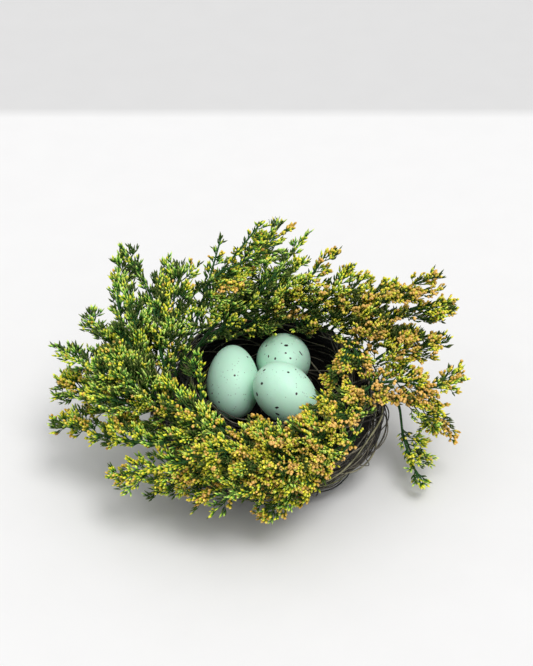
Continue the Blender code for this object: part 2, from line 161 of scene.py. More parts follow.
# Sprays: name, route from root to tip in mm, length in mm of the branches on the left of a stem that is seen
# from its root and from above, near its foot and near its tip, the same two on its right, percentage of the
# stem that is bare, and how dry the flowers are, from 0 for green to 100 for tan
SPRIGS = (
    ("left_low", ((-26, -44, 44), (-56, -50, 44), (-89, -36, 39), (-112, -21, 35)), (0, 14, 26, 13), 10, 42),
    ("left_mid", ((-31, -36, 44), (-63, -28, 51), (-91, -8, 44), (-112, 3, 41)), (23, 17, 22, 9), 10, 36),
    ("left_high", ((-42, -28, 44), (-66, -24, 58), (-87, -13, 60), (-114, 17, 58)), (17, 6, 26, 13), 12, 26),
    ("left_outer", ((-50, -22, 43), (-67, -23, 62), (-84, 3, 70), (-99, 24, 73)), (11, 6, 17, 7), 12, 24),
    ("left_back", ((-53, -16, 42), (-69, -12, 70), (-80, 14, 84), (-82, 47, 96)), (8, 4, 22, 12), 12, 20),
    ("left_tall", ((-51, -9, 42), (-58, -4, 74), (-64, 20, 92), (-81, 49, 102)), (4, 2, 13, 6), 14, 20),
    ("left_fill", ((-53, -4, 41), (-63, -4, 58), (-73, 3, 64), (-87, 9, 68)), (20, 12, 20, 12), 10, 28),
    ("left_upright", ((-50, 0, 43), (-52, 8, 72), (-51, 21, 86), (-46, 35, 96)), (24, 16, 13, 11), 10, 26),
    ("back_corner", ((-51, 7, 42), (-39, 22, 72), (-32, 36, 90), (-26, 55, 104)), (8, 1, 14, 2), 20, 26),
    ("back_left", ((-53, 13, 43), (-43, 28, 80), (-25, 35, 96), (-3, 63, 110)), (0, 2, 24, 17), 34, 38),
    ("back_tall", ((-47, 21, 42), (-25, 29, 72), (-10, 46, 92), (8, 65, 108)), (20, 16, 7, 14), 13, 36),
    ("back_fine", ((-41, 34, 42), (-17, 34, 66), (2, 45, 84), (23, 67, 100)), (16, 2, 12, 2), 12, 24),
    ("back_mid", ((-32, 43, 42), (-12, 44, 57), (4, 45, 76), (20, 58, 88)), (20, 14, 21, 18), 10, 34),
    ("back_spire", ((-9, 55, 42), (9, 52, 61), (23, 49, 81), (33, 55, 95)), (8, 1, 24, 6), 12, 50),
    ("back_right", ((2, 55, 43), (21, 47, 59), (35, 44, 76), (44, 51, 87)), (11, 2, 24, 6), 10, 46),
    ("back_feather", ((15, 54, 43), (32, 50, 59), (46, 50, 72), (55, 53, 81)), (6, 2, 28, 6), 4, 47),
    ("back_low", ((27, 48, 43), (39, 46, 55), (55, 48, 67), (67, 55, 75)), (6, 2, 28, 11), 4, 52),
    ("right_tuft", ((32, 45, 42), (40, 39, 58), (50, 36, 65), (61, 35, 71)), (24, 9, 24, 14), 10, 62),
    ("right_long", ((37, 42, 43), (52, 41, 64), (73, 43, 77), (95, 41, 89)), (0, 0, 24, 20), 13, 60),
    ("right_high", ((46, 30, 43), (57, 29, 60), (80, 33, 72), (102, 28, 80)), (3, 4, 25, 20), 12, 59),
    ("right_mid", ((49, 20, 43), (60, 26, 55), (75, 24, 60), (84, 21, 61)), (14, 4, 28, 10), 4, 68),
    ("right_inner", ((42, 36, 42), (45, 17, 62), (41, 3, 60), (31, -4, 52)), (22, 9, 6, 3), 10, 62),
    ("right_out", ((50, 9, 43), (64, 15, 54), (82, 17, 58), (98, 15, 62)), (20, 5, 23, 10), 5, 69),
    ("right_reach", ((52, 1, 42), (70, -3, 49), (90, -7, 48), (99, 2, 53)), (16, 1, 22, 14), 5, 65),
    ("right_curl", ((53, -6, 42), (77, -11, 41), (91, -12, 35), (89, -19, 27)), (3, 3, 25, 9), 14, 56),
    ("right_hanging", ((56, -8, 39), (70, -7, 38), (74, -20, 22), (82, -45, 10)), (20, 11, 1, 5), 56, 42),
    ("rim_right", ((57, 5, 43), (53, -18, 56), (39, -32, 57), (21, -33, 54)), (17, 8, 14, 8), 8, 60),
    ("front_right", ((54, -14, 42), (46, -36, 54), (29, -49, 55), (17, -43, 52)), (12, 10, 16, 9), 8, 60),
    ("front_upper", ((49, -21, 43), (35, -46, 51), (12, -60, 54), (-11, -49, 52)), (10, 12, 20, 12), 10, 56),
    ("front_edge", ((50, -28, 42), (40, -52, 43), (28, -62, 36), (17, -69, 19)), (3, 6, 20, 14), 10, 62),
    ("front_low", ((41, -36, 43), (28, -60, 45), (10, -73, 34), (-2, -75, 19)), (9, 12, 22, 13), 11, 58),
    ("front_left", ((33, -44, 43), (14, -68, 48), (-10, -77, 42), (-37, -72, 30)), (22, 18, 24, 14), 11, 52),
    ("front_fill", ((26, -45, 43), (13, -64, 51), (2, -68, 46), (-14, -68, 38)), (20, 14, 22, 12), 10, 56),
    ("front_reach", ((15, -51, 43), (-9, -61, 51), (-40, -63, 44), (-83, -59, 29)), (20, 14, 15, 8), 13, 48),
    ("front_tuft", ((7, -51, 42), (-17, -66, 43), (-40, -62, 30), (-60, -58, 17)), (11, 5, 14, 9), 16, 48),
    ("inner_left", ((-3, -50, 43), (-24, -49, 52), (-39, -41, 58), (-54, -22, 66)), (20, 12, 9, 7), 10, 36),
    ("inner_curl", ((-12, -50, 44), (-29, -42, 54), (-36, -19, 54), (-37, 11, 56)), (16, 9, 2, 2), 10, 34),
)
REACH_POWER = 1.5  # power of the place along a stem by which the branches' length changes to the tip's
REACH_UPRIGHT = 0.62  # length of branches over and under a stem, as a share of those beside it
BOX_MARGIN = 0.013  # share of each side of the solids' box by which flowers may pass it
FLOOR_ROOM = 0.0004  # height over the table that they keep
FORK_ROOM, TWIG_ROOM = 0.0006, 0.0004  # room that forks, and branches and twigs, keep to eggs and wall

# Rings of the stem, forks, branches, twigs and florets, how far they turn up, range in degrees of the first
# and of the last angle to the line that they leave, and how far they stray from their side of it in radians
STEM_RINGS, FORK_RINGS, BRANCH_RINGS, TWIG_RINGS, FLORET_RINGS = 40, 12, 6, 3, 4
FORK_LIFT, TWIG_LIFT, FLORET_LIFT = 0.04, 0.12, 0.15
FORK_ANGLES, FORK_STRAY = ((24, 38), (0, 10)), 0.6
BRANCH_ANGLES, BRANCH_STRAY = ((42, 60), (12, 32)), 0.9
TWIG_ANGLES, TWIG_STRAY = ((34, 54), (8, 26)), 0.6
FLORET_ANGLES, FLORET_STRAY = ((24, 42), (2, 18)), 0.4

FORK_STARTS = np.array((0.06, 0.18, 0.32))  # where forks leave past the bare foot, in lengths of the stem
FORK_SPANS = np.array((0.50, 0.42, 0.32))  # and how long they are, likewise
FORK_BARE = 0.25  # share of a fork that has no branches
FORK_SHARE = 0.65  # reach of a fork's branches, as a share of the stem's
FULL_REACH = 18 * MM  # reach from which on the forks have their full length
LEAST_FORK = 0.1  # share of it that they have at least
BRANCH_END, TWIG_START, TWIG_END = 0.97, 0.14, 0.95  # where branches end along a stem, and twigs on a branch
FOOT_ANGLE = 25  # degrees by which branches stand out more near the foot
TIP_ROOM = 1.6 * MM  # how far branches may pass the tip of their stem
LEAST_SHOOT = 1.6 * MM  # length under which branches are left out, and that twigs have at least
FULL_TWIGS = 12 * MM  # length of a branch from which on its twigs have their full length
BRANCH_LIFT = 0.08  # how far branches turn up
HANGING_LIFT = -0.12  # how far they hang down where they leave the stem over the hollow
HIGH_LIFT, HIGH_FROM = -0.35, 72 * MM  # and how far there above this height

# Stem, forks, branches and twigs: radius at the foot, sides, and their tone on the map
SHOOTS = ((0.0009, 6, 0.02), (0.62 * MM, 6, 0.02), (0.40 * MM, 4, 0.04), (0.24 * MM, 3, 0.06))
SHOOT_TAPER = 0.45  # how much slimmer their tips are

# Where florets begin along a branch, a fork, a stem and a stem that is bare on one side, and on a twig of a
# green spray, with what a tan one has more
BRANCH_BARE, FORK_TIP, STEM_TIP, BARE_STEM_TIP = 0.35, 0.60, 0.70, 0.93
TWIG_BARE, DRY_TWIG_BARE = 0.08, 0.40
BARE_REACH = 1.5 * MM  # reach on one side up to which a stem counts as bare there
CLUMP_WAVES, CLUMP_LENGTHS = 5, (0.008, 0.014)  # waves by which flowers stand in clumps, and their lengths
CLUMP_STRAY = 0.5  # how far single florets stray from those waves
GAP_LEVEL = -1.1  # of the waves' sum, under which florets are fewer, green and darkened with painted shade
SHADE_BELOW, SHADE_BEHIND = 70 * MM, 20 * MM  # top and front of the part that the back sprays shade, where florets get painted shade
SHADE_MORE = 1.5  # by how much that level is higher there, so that more florets are darkened as painted shade
GAP_SHARE = 0.75  # of the florets under that level, how many are left
BRANCH_SCATTER, TWIG_SCATTER, FLORET_SCATTER = 0.15, 0.11, 0.09  # of their dryness
DRYNESS_GROWTH = 0.20  # how much drier florets are at the end of a line than at its foot
TWIG_GAP, DRY_TWIG_GAP = 0.92, 0.36  # twigs' spacing on a green spray, as a share, and what a tan one adds
DRY_FLORET_GAP = 0.30  # share of their spacing by which the florets of a tan spray stand closer
FLORET_ROW = 0.95  # angle in radians between upright and each of the two rows of florets
FLORET_SIDES = 4
FLORET_SHARES = (0.0, 0.35, 0.75, 1.0)  # place along a floret of its foot, its two rings and its tip
BUD_SHAPE = np.array((0.82, 0.64))  # thickness of the rings of a closed bud
FLOWER_SHAPE = np.array((0.95, 1.55))  # and of an open flower
BUD_POINT, BLUNTING = 0.33, 0.18  # reach of a bud's ends past its rings, as a share, less at an open tip
DRY_RANGE = (0.12, 0.99)  # dryness that the map has room for
# How much stems and flowers, the floor and the shells shine, and how light gets into the shells
PLANT_SHEEN, FLOOR_SHEEN = {"Specular IOR Level": 0.15}, {"Specular IOR Level": 0.2}
SHELL_SHEEN = {
    "Coat Weight": 0.25,
    "Coat Roughness": 0.35,
    "Subsurface Weight": 0.3,
    "Subsurface Radius": (0.004, 0.008, 0.006),
    "Subsurface Scale": 1.0,
    "Specular IOR Level": 0.5,
}
FOOT_SHADE = 0.5  # how dark a floret's foot is, as a share of the stem's colour: partly its own darker base, partly painted shade inside the spray
EDGE_BLUR = 0.008  # half width of the floor's far edge


# Paths and surfaces


def unit(vectors):
    """Vectors divided by their lengths."""
    return vectors / np.maximum(np.linalg.norm(vectors, axis=-1, keepdims=True), 1e-12)


def curve_through(points, count):
    """A Catmull-Rom curve through the points, with its ends carried straight on, read at equal steps."""
    points = np.array(points, float)
    held = np.vstack([2 * points[0] - points[1], points, 2 * points[-1] - points[-2]])
    at = np.linspace(0, len(points) - 1, count)
    k = np.minimum(at.astype(int), len(points) - 2)
    t = (at - k)[:, None]
    a, b, c, d = (held[k + n] for n in range(4))
    return 0.5 * (2 * b + (c - a) * t + (2 * a - 5 * b + 4 * c - d) * t**2 + (3 * b - a - 3 * c + d) * t**3)


def lengths_along(points):
    """Length of a line from its start to each of its points: the sum of the steps before it."""
    return np.concatenate(([0], np.cumsum(np.linalg.norm(np.diff(points, axis=0), axis=1))))


def beside(directions):
    """A level unit vector square to each direction, or one along X beside an upright direction."""
    helper = np.where(np.abs(directions[..., 2:]) < 0.97, UP, np.array((0.0, -1.0, 0.0)))
    return unit(np.cross(helper, directions))


def carried_frames(lines):
    """At each point of each line, two vectors square to it, turned as little as possible along the line."""
    tangents = unit(np.gradient(lines, axis=1))
    sides = np.empty_like(lines)
    sides[:, 0] = beside(tangents[:, 0])
    for ring in range(1, lines.shape[1]):
        before, tangent = sides[:, ring - 1], tangents[:, ring]
        sides[:, ring] = unit(before - tangent * (before * tangent).sum(-1, keepdims=True))
    return tangents, sides, np.cross(tangents, sides)


def closed_faces(count, rings, sides):
    """Faces of tubes, each of which is rings of points and then the point at its foot and the one at its tip:
    four-cornered ones that join each ring to the next, and fans of triangles that close both ends."""
    step = rings * sides + 2
    tube, ring, side = np.meshgrid(np.arange(count), np.arange(rings - 1), np.arange(sides), indexing="ij")
    first = tube * step + ring * sides
    after = (side + 1) % sides
    corners = (first + side, first + after, first + after + sides, first + side + sides)
    start = np.arange(count)[:, None] * step
    last = start + (rings - 1) * sides
    at, after = np.arange(sides), (np.arange(sides) + 1) % sides
    feet = np.stack(np.broadcast_arrays(start + after, start + at, start + step - 2), axis=-1)
    tips = np.stack(np.broadcast_arrays(last + at, last + after, start + step - 1), axis=-1)
    return np.stack(corners, axis=-1).reshape(-1, 4), np.concatenate([feet, tips], axis=1).reshape(-1, 3)


def tubes(lines, radii, sides, along, tones, slot, reaches=None):
    """Round tubes: a circle of the given radius carried along each line, closed by a fan at its foot and
    at its tip. The reaches are how far each fan's point stands past the line's end.

    along and tones go on the map: along changes from foot to tip, and tones from tube to tube, with a
    narrow strip of the map round each tube."""
    count, rings = radii.shape
    tangents, side, other = carried_frames(lines)
    turn = np.arange(sides) * 2 * math.pi / sides
    spokes = side[:, :, None] * np.cos(turn)[:, None] + other[:, :, None] * np.sin(turn)[:, None]
    wall = lines[:, :, None] + spokes * radii[:, :, None, None]
    foot_reach, tip_reach = reaches or (radii[:, 0] * FOOT_POINT, radii[:, -1] * TIP_POINT)
    foot = lines[:, 0] - tangents[:, 0] * foot_reach[:, None]
    tip = lines[:, -1] + tangents[:, -1] * tip_reach[:, None]
    points = np.concatenate([wall.reshape(count, -1, 3), foot[:, None], tip[:, None]], axis=1)
    along = np.broadcast_to(along, (count, rings + 2))
    u = np.concatenate([np.repeat(along[:, 1:-1], sides, axis=1), along[:, :1], along[:, -1:]], axis=1)
    width = MAP_WIDTH * np.concatenate([np.tile(np.cos(turn), rings), np.zeros(2)])
    v = np.asarray(tones, float)[:, None] + width
    return {
        "points": points.reshape(-1, 3),
        "faces": closed_faces(count, rings, sides),
        "map": np.stack([u, v], axis=-1).reshape(-1, 2),
        "slot": slot,
    }


def turned_shell(rings, slot, places=None):
    """A closed surface over rings of points, whose first and last rings shrink to a point at each pole. The
    places are the rings' places on the map, if they have any."""
    count, sides = rings.shape[:2]
    poles = np.stack([rings[0].mean(0), rings[-1].mean(0)])
    if places is not None:
        places = np.concatenate([places[1:-1].reshape(-1, 2), places[0, :1], places[-1, :1]])
    return {
        "points": np.concatenate([rings[1:-1].reshape(-1, 3), poles]),
        "faces": closed_faces(1, count - 2, sides),
        "map": places,
        "slot": slot,
    }


def new_object(name, data):
    """An object in the scene for a mesh, a lamp or a camera."""
    thing = bpy.data.objects.new(name, data)
    bpy.context.scene.collection.objects.link(thing)
    return thing


def new_piece(name, parts, materials, node):
    """One smooth mesh of all the parts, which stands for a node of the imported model."""
    starts = np.cumsum([0] + [len(part["points"]) for part in parts])
    points = np.concatenate([part["points"] for part in parts])
    corners, sizes, slots = [], [], []
    for part, start in zip(parts, starts):
        for faces in part["faces"]:
            corners.append((faces + start).ravel())
            sizes.append(np.full(len(faces), faces.shape[1]))
            slots.append(np.full(len(faces), part["slot"]))
    corners, sizes, slots = (np.concatenate(item).astype(np.int32) for item in (corners, sizes, slots))
    mesh = bpy.data.meshes.new(name)
    mesh.vertices.add(len(points))
    mesh.vertices.foreach_set("co", points.astype(np.float32).ravel())
    mesh.loops.add(len(corners))
    mesh.loops.foreach_set("vertex_index", corners)
    mesh.polygons.add(len(sizes))
    mesh.polygons.foreach_set("loop_start", np.concatenate(([0], np.cumsum(sizes)[:-1])).astype(np.int32))
    mesh.polygons.foreach_set("material_index", slots)
    mesh.update(calc_edges=True)
    if mesh.validate():
        raise RuntimeError(f"{name} has faces that Blender had to mend")
    if parts[0]["map"] is not None:
        places = np.concatenate([part["map"] for part in parts])
        layer = mesh.uv_layers.new(name=BAKE_MAP)
        layer.uv.foreach_set("vector", places[corners].astype(np.float32).ravel())
    mesh.shade_smooth()
    for material in materials:
        mesh.materials.append(material)
    piece = new_object(name, mesh)
    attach(piece, "root")
    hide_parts(node)


# Nest


def hollow_outline():
    """Radius and height down the hollow, in mm: a quarter of a superellipse."""
    turn = np.linspace(0, math.pi / 2, HOLLOW_STEPS)
    power = 2 / HOLLOW_FULLNESS
    return HOLLOW_RADIUS * np.cos(turn) ** power, RIM_HEIGHT - HOLLOW_DEPTH * np.sin(turn) ** power


def skin_profile():
    """Radius, height and shift to the back of the nest's skin, in metres at equal steps of its length, from
    the middle of the base out, up the wall, over the rim and down to the hollow's floor."""
    wall = np.array(WALL_OUTLINE, float)
    base_and_wall = np.column_stack([wall, np.zeros(len(wall))])
    hollow = np.column_stack([*hollow_outline(), np.full(HOLLOW_STEPS, HOLLOW_SHIFT)])
    rim = (RIM_RADIUS, RIM_HEIGHT, HOLLOW_SHIFT / 2)
    line = curve_through(np.vstack([(0, 0, 0), base_and_wall, rim, hollow]) * MM, SKIN_STEPS * 4)
    along = lengths_along(line[:, :2])
    at = np.linspace(0, along[-1], SKIN_STEPS)
    return np.stack([np.interp(at, along, line[:, k]) for k in range(3)], axis=1)


def on_skin(profile, place, turn, lift):
    """Points on the nest's skin: the profile at a place from 0 to 1, turned round the upright axis, and
    moved out square to the skin by the lift."""
    steps = np.gradient(profile[:, :2], axis=0)
    normals = unit(np.stack([steps[:, 1], -steps[:, 0]], axis=1))
    at = np.clip(place, 0, 1) * (len(profile) - 1)
    radius, height, shift, out, rise = (
        np.interp(at, np.arange(len(profile)), values) for values in (*profile.T, *normals.T)
    )
    reach = radius + lift * out
    return np.stack([reach * np.cos(turn), reach * np.sin(turn) + shift, height + lift * rise], axis=-1)


def pressed(points):
    """Points with the rim pressed down at the front: their height above a level is lowered by the same
    share as the rim's, by the square of the cosine of the turn from the front."""
    front = np.clip(-unit(points[..., :2])[..., 1], 0, 1) ** 2
    above = np.maximum(points[..., 2] - DIP_FROM * MM, 0) / (RIM_HEIGHT - DIP_FROM)
    return points - UP * (RIM_DIP * above * front)[..., None]


def strand_family(rng, profile, family, bowl):
    """Strands of one family. Each turns round the nest by its span while its place on the skin climbs
    evenly and waves by two sines, the finer one a third as high, and its lift swings by a sine between
    under and over the others. Loops stand out from it by the square of a sine. Its ends are tucked in, and
    its thickness falls off to both ends by a third power and wavers by a sine."""
    count, places, spans, climb, wave, lifts, loops = family
    t = np.linspace(0, 1, STRAND_RINGS)

    def each(low, high):
        return rng.uniform(low, high, count)[:, None]

    span = each(*spans)
    turn = each(0, 2 * math.pi) + span * (t - 0.5) * np.sign(each(-1, 1))
    place = each(*places) + climb * each(-1, 1) * (t - 0.5)
    place = place + wave * np.sin(span * each(*PLACE_WAVES) * t + each(0, 2 * math.pi))
    place = place + wave / 3 * np.sin(span * each(*FINE_WAVES) * t + each(0, 2 * math.pi))
    swing = np.sin(span * each(*LIFT_WAVES) * t + each(0, 2 * math.pi))
    lift = (np.mean(lifts) + (lifts[1] - lifts[0]) / 2 * swing) * MM
    stand = np.sin(math.pi * (each(1, 3).astype(int) * t)) ** 2
    lift = lift + loops * MM * stand * each(*STANDING_LOOPS) * bowl.loop_height
    ends = np.minimum(1, np.minimum(t, 1 - t) / STRAND_TUCK)
    lift = lift * ends - STRAND_SINK * (1 - ends)
    thick = bowl.strand_radius * each(*STRAND_SPREAD) * (1 - STRAND_TAPER * np.abs(2 * t - 1) ** 3)
    thick = thick * (1 + KNOT_DEPTH * np.sin(span * each(*KNOT_WAVES) * t + each(0, 6)))
    lines = pressed(on_skin(profile, place, turn, lift))
    lines[..., 2] = np.maximum(lines[..., 2], thick)
    return lines, thick


def make_bowl(bowl):
    """Some four hundred strands of vine round a dark core, which is the nest's skin moved inwards and made
    uneven by two crossing waves. The core's darkness is partly the fibre's own and partly painted shade in
    the gaps between the strands."""
    rng = np.random.default_rng(BOWL_SEED)
    profile = skin_profile()
    turn = np.arange(CORE_SIDES) * 2 * math.pi / CORE_SIDES
    place = np.linspace(0, 1, CORE_RINGS)[:, None]
    wander = CORE_WANDER * np.sin(7 * turn + 30 * place) * np.sin(11 * turn - 50 * place)
    rings = pressed(on_skin(profile, place, turn[None], wander - bowl.core_depth))
    rings[..., 2] = np.maximum(rings[..., 2], bowl.core_depth / 2)
    middle, half = CORE_BAND
    places = np.stack(np.broadcast_arrays(place, middle + half * np.cos(turn)), axis=-1)
    vine, core = 0, 1
    parts = [turned_shell(rings, core, places)]
    for family in STRANDS.values():
        lines, radii = strand_family(rng, profile, family, bowl)
        along = np.linspace(0, 1, STRAND_RINGS + 2)[None] * rng.uniform(*STRAND_MAP, len(lines))[:, None]
        tones = np.clip(rng.beta(*STRAND_TONES, len(lines)), 0.02, 0.98)
        parts.append(tubes(lines, radii, STRAND_SIDES, along, tones, vine))
    new_piece("vine_bowl", parts, [vine_material(bowl), core_material(bowl)], "nest_bowl")


# Eggs


def egg_axes(towards):
    """Three unit vectors square to each other, the first one along the egg."""
    axis = unit(np.array(towards, float))
    side = beside(axis)
    return axis, side, np.cross(axis, side)


def egg_radius(share, width):
    """Radius at a place along the axis, share from -1 to 1: an ellipse, slimmer on the narrow half."""
    return width / 2 * np.sqrt(np.clip(1 - share**2, 0, 1)) * (1 - EGG_TAPER * share)


def inside_egg(points, egg, margin):
    """True for each point that lies in an egg or nearer to it than the margin."""
    length, width, middle, towards = egg
    axis = egg_axes(towards)[0]
    away = points - np.array(middle)
    place = away @ axis
    off = np.linalg.norm(away - place[..., None] * axis, axis=-1)
    share = place / (length / 2 + margin)
    return (np.abs(share) < 1) & (off < egg_radius(share, width + 2 * margin))


def pixel_ray(pixel):
    """The way that the camera looks through a pixel of the photograph."""
    right, down = (np.array(pixel) - PHOTO_SIZE / 2) / FOCAL_PIXELS
    return unit(CAMERA_AHEAD + right * CAMERA_RIGHT - down * CAMERA_UP)


def seen_on_egg(egg, pixel):
    """Where the camera's ray through a pixel meets an egg, found by fine steps."""
    length, _, middle, _ = egg
    ray = pixel_ray(pixel)
    near = (np.array(middle) - CAMERA_PLACE) @ ray - length
    points = CAMERA_PLACE + ray * (near + np.linspace(0, 2 * length, RAY_STEPS))[:, None]
    hit = inside_egg(points, egg, 0.0)
    if not hit.any():
        raise RuntimeError(f"the speckle at {pixel} is beside the egg")
    return points[np.argmax(hit)]


def speckles_of(name, rng):
    """Place, direction, half length and radius of each speckle: those that the photograph shows, and
    others scattered over the far side."""
    egg = EGGS[name]
    length, width, middle, towards = egg
    found = []
    for across, down, radius, half, slope in SPECKLES[name]:
        angle = math.radians(slope)
        way = CAMERA_RIGHT * math.cos(angle) + CAMERA_UP * math.sin(angle)
        found.append((seen_on_egg(egg, (across, down)), way, half * MM, radius * MM))
    axis, side, other = egg_axes(towards)
    while len(found) < len(SPECKLES[name]) + HIDDEN_SPECKLES:
        share, turn = rng.uniform(-0.9, 0.9), rng.uniform(0, 2 * math.pi)
        spoke = side * math.cos(turn) + other * math.sin(turn)
        place = middle + axis * share * length / 2 + spoke * egg_radius(share, width)
        if (place - middle) @ (CAMERA_PLACE - middle) < 0:
            way = unit(rng.normal(size=3))
            found.append((place, way, rng.uniform(*HIDDEN_HALF) * MM, rng.uniform(*HIDDEN_RADIUS) * MM))
    return found


def make_egg(name, eggs, rng):
    """An egg: its radius, an ellipse's made slimmer on the narrow half, is turned round its axis."""
    length, width, middle, towards = EGGS[name]
    axis, side, other = egg_axes(towards)
    share = np.cos(np.linspace(0, math.pi, EGG_RINGS))[:, None, None]
    turn = -np.arange(EGG_SIDES)[None, :, None] * 2 * math.pi / EGG_SIDES
    spokes = side * np.cos(turn) + other * np.sin(turn)
    rings = np.array(middle) + axis * share * length / 2 + spokes * egg_radius(share, width)
    shell = shell_material(name, eggs, speckles_of(name, rng))
    new_piece(f"{name}_shell", [turned_shell(rings, 0)], [shell], name)


# Sprays


def inside_wall(points, margin):
    """True for each point in the nest's wall, or nearer to it than the margin."""
    wall = np.array(WALL_OUTLINE) * MM
    reach = np.linalg.norm(points[..., :2], axis=-1)
    in_outline = reach < np.interp(points[..., 2], wall[:, 1], wall[:, 0]) + margin
    radius, height = hollow_outline()
    back = points[..., :2] - np.array((0, HOLLOW_SHIFT * MM))
    hollow = np.interp(points[..., 2], height[::-1] * MM, radius[::-1] * MM, left=0)
    in_hollow = np.linalg.norm(back, axis=-1) < hollow - margin
    return (points[..., 2] < RIM_HEIGHT * MM + margin) & in_outline & ~in_hollow


def out_of_place(points, margin):
    """True for each point that is past the solids' box by more than a share of its sides, too near the
    table, or in an egg or the nest's wall, or nearer to them than the margin."""
    spare = (CAD_BOX[1] - CAD_BOX[0]) * BOX_MARGIN
    low = np.array((*(CAD_BOX[0] - spare)[:2], FLOOR_ROOM))
    bad = ((points < low) | (points > CAD_BOX[1] + spare)).any(-1)
    for egg in EGGS.values():
        bad |= inside_egg(points, egg, margin)
    return bad | inside_wall(points, margin)


def offshoots(lines, parents, shares, lengths, angles, turns, rings, lift):
    """Branches from lines: each leaves its parent at a share of the parent's length, on the side that its
    turn gives, at the first angle to it, and bends evenly to the second angle and up by the lift."""
    at = shares * (lines.shape[1] - 1)
    k = np.minimum(at.astype(int), lines.shape[1] - 2)
    t = (at - k)[:, None]
    before, beyond = lines[parents, k], lines[parents, k + 1]
    ahead = unit(beyond - before)
    side = beside(ahead)
    out = side * np.cos(turns)[:, None] + np.cross(ahead, side) * np.sin(turns)[:, None]
    bend = np.linspace(*angles, rings - 1, axis=1)[..., None]
    rise = UP * np.reshape(lift, (-1, 1, 1))
    ways = unit(ahead[:, None] * np.cos(bend) + out[:, None] * np.sin(bend) + rise)
    steps = ways * (lengths / (rings - 1))[:, None, None]
    feet = (before * (1 - t) + beyond * t)[:, None]
    return feet + np.concatenate([np.zeros_like(feet), np.cumsum(steps, axis=1)], axis=1)


def spaced(rng, lengths, spacing, first, last):
    """Parent, share of its length and rank of offshoots at a spacing along each parent."""
    counts = np.maximum(1, np.round(lengths * (last - first) / spacing)).astype(int)
    parents = np.repeat(np.arange(len(lengths)), counts)
    rank = np.arange(len(parents)) - np.repeat(np.cumsum(counts) - counts, counts)
    shares = first + (last - first) * (rank + rng.uniform(0.2, 0.8, len(parents))) / counts[parents]
    return parents, shares, rank


def drawn_angles(rng, ranges, count, wider=0.0):
    """First and last angle of each offshoot in radians, drawn evenly from two ranges in degrees."""
    first, last = ranges
    return np.radians((rng.uniform(*first, count) + wider, rng.uniform(*last, count) + wider))


def side_reach(reaches, turns, shares, backs):
    """Reach of a branch, by the side of the stem that its turn points to: it passes from left at no turn
    through above to right at a half turn, and then below. Above, it goes by the stem's back side, and below
    by its front side; backs tells how far the left side looks back, from 0 to 1. Along the stem the reach
    changes from foot to tip with a power of the place."""
    left, right = (side[0] + (side[1] - side[0]) * shares**REACH_POWER for side in reaches)
    above = REACH_UPRIGHT * (left * backs + right * (1 - backs))
    below = REACH_UPRIGHT * (left * (1 - backs) + right * backs)
    across = np.where(np.cos(turns) > 0, left, right)
    upright = np.where(np.sin(turns) > 0, above, below)
    return across * np.cos(turns) ** 2 + upright * np.sin(turns) ** 2


def looks_back(lines):
    """How far the left side of each line looks to the nest's back, from 0 to 1."""
    return (1 + beside(unit(lines[:, -1] - lines[:, 0]))[:, 1]) / 2


def grow_forks(rng, stem, length, reaches, start):
    """Side stems that leave the main stem at a narrow angle and then run beside it. They are short on a
    side with a short reach."""
    count = len(FORK_STARTS)
    shares = start + FORK_STARTS
    angles = drawn_angles(rng, FORK_ANGLES, count)
    turns = math.pi * (np.arange(count) + rng.integers(2)) + rng.normal(0, FORK_STRAY, count)
    room = side_reach(reaches, turns, shares, looks_back(stem)) / FULL_REACH
    spans = length * FORK_SPANS * rng.uniform(0.85, 1.1, count) * np.clip(room, LEAST_FORK, 1)
    forks = offshoots(stem, np.zeros(count, int), shares, spans, angles, turns, FORK_RINGS, FORK_LIFT)
    kept = ~out_of_place(forks, FORK_ROOM).any(1)
    return forks[kept], spans[kept]


def grow_branches(rng, stems, lengths, reaches, start, sprays):
    """Branches leave the stems on all sides, but most to the left and right. Each is as long as the reach
    there, but shorter near the stem's bare foot, and hardly passes the stem's tip. Branches that leave a
    stem over the hollow hang down, so that they don't hide the eggs."""
    parents, shares, rank = spaced(rng, lengths, sprays.branch_spacing, start, BRANCH_END)
    count = len(shares)
    grown = np.minimum(1, 0.75 + (shares - start) * 3)
    angles = drawn_angles(rng, BRANCH_ANGLES, count, FOOT_ANGLE * (1 - shares) ** 3)
    turns = math.pi * (rank % 2) + rng.normal(0, BRANCH_STRAY, count)
    reach = side_reach(reaches, turns, shares, looks_back(stems)[parents]) * sprays.branch_length
    reach = np.minimum(reach, (1 - shares) * lengths[parents] + TIP_ROOM)
    spans = reach * grown * rng.uniform(0.65, 1.1, count)
    feet = stems[parents, (shares * (stems.shape[1] - 1)).astype(int)]
    hanging = np.linalg.norm(feet[:, :2] - np.array((0, HOLLOW_SHIFT * MM)), axis=1) < RIM_RADIUS * MM
    high = hanging & (feet[:, 2] > HIGH_FROM)
    lift = np.select([high, hanging], [HIGH_LIFT, HANGING_LIFT], BRANCH_LIFT)
    branches = offshoots(stems, parents, shares, spans, angles, turns, BRANCH_RINGS, lift)
    kept = ~out_of_place(branches, TWIG_ROOM).any(1) & (spans > LEAST_SHOOT)
    return branches[kept], spans[kept]


def grow_twigs(rng, branches, lengths, spacing, sprays):
    """Twigs leave the branches on alternate sides, shorter towards the branch's tip."""
    parents, shares, rank = spaced(rng, lengths, spacing, TWIG_START, TWIG_END)
    count = len(shares)
    grown = np.minimum(1, lengths[parents] / FULL_TWIGS) * (1 - 0.5 * shares) * rng.uniform(0.65, 1.15, count)
    angles = drawn_angles(rng, TWIG_ANGLES, count)
    turns = math.pi * (rank % 2) + rng.normal(0, TWIG_STRAY, count)
    spans = np.maximum(sprays.twig_length * grown, LEAST_SHOOT)
    twigs = offshoots(branches, parents, shares, spans, angles, turns, TWIG_RINGS, TWIG_LIFT)
    kept = ~out_of_place(twigs, TWIG_ROOM).any(1)
    return twigs[kept], spans[kept], parents[kept]


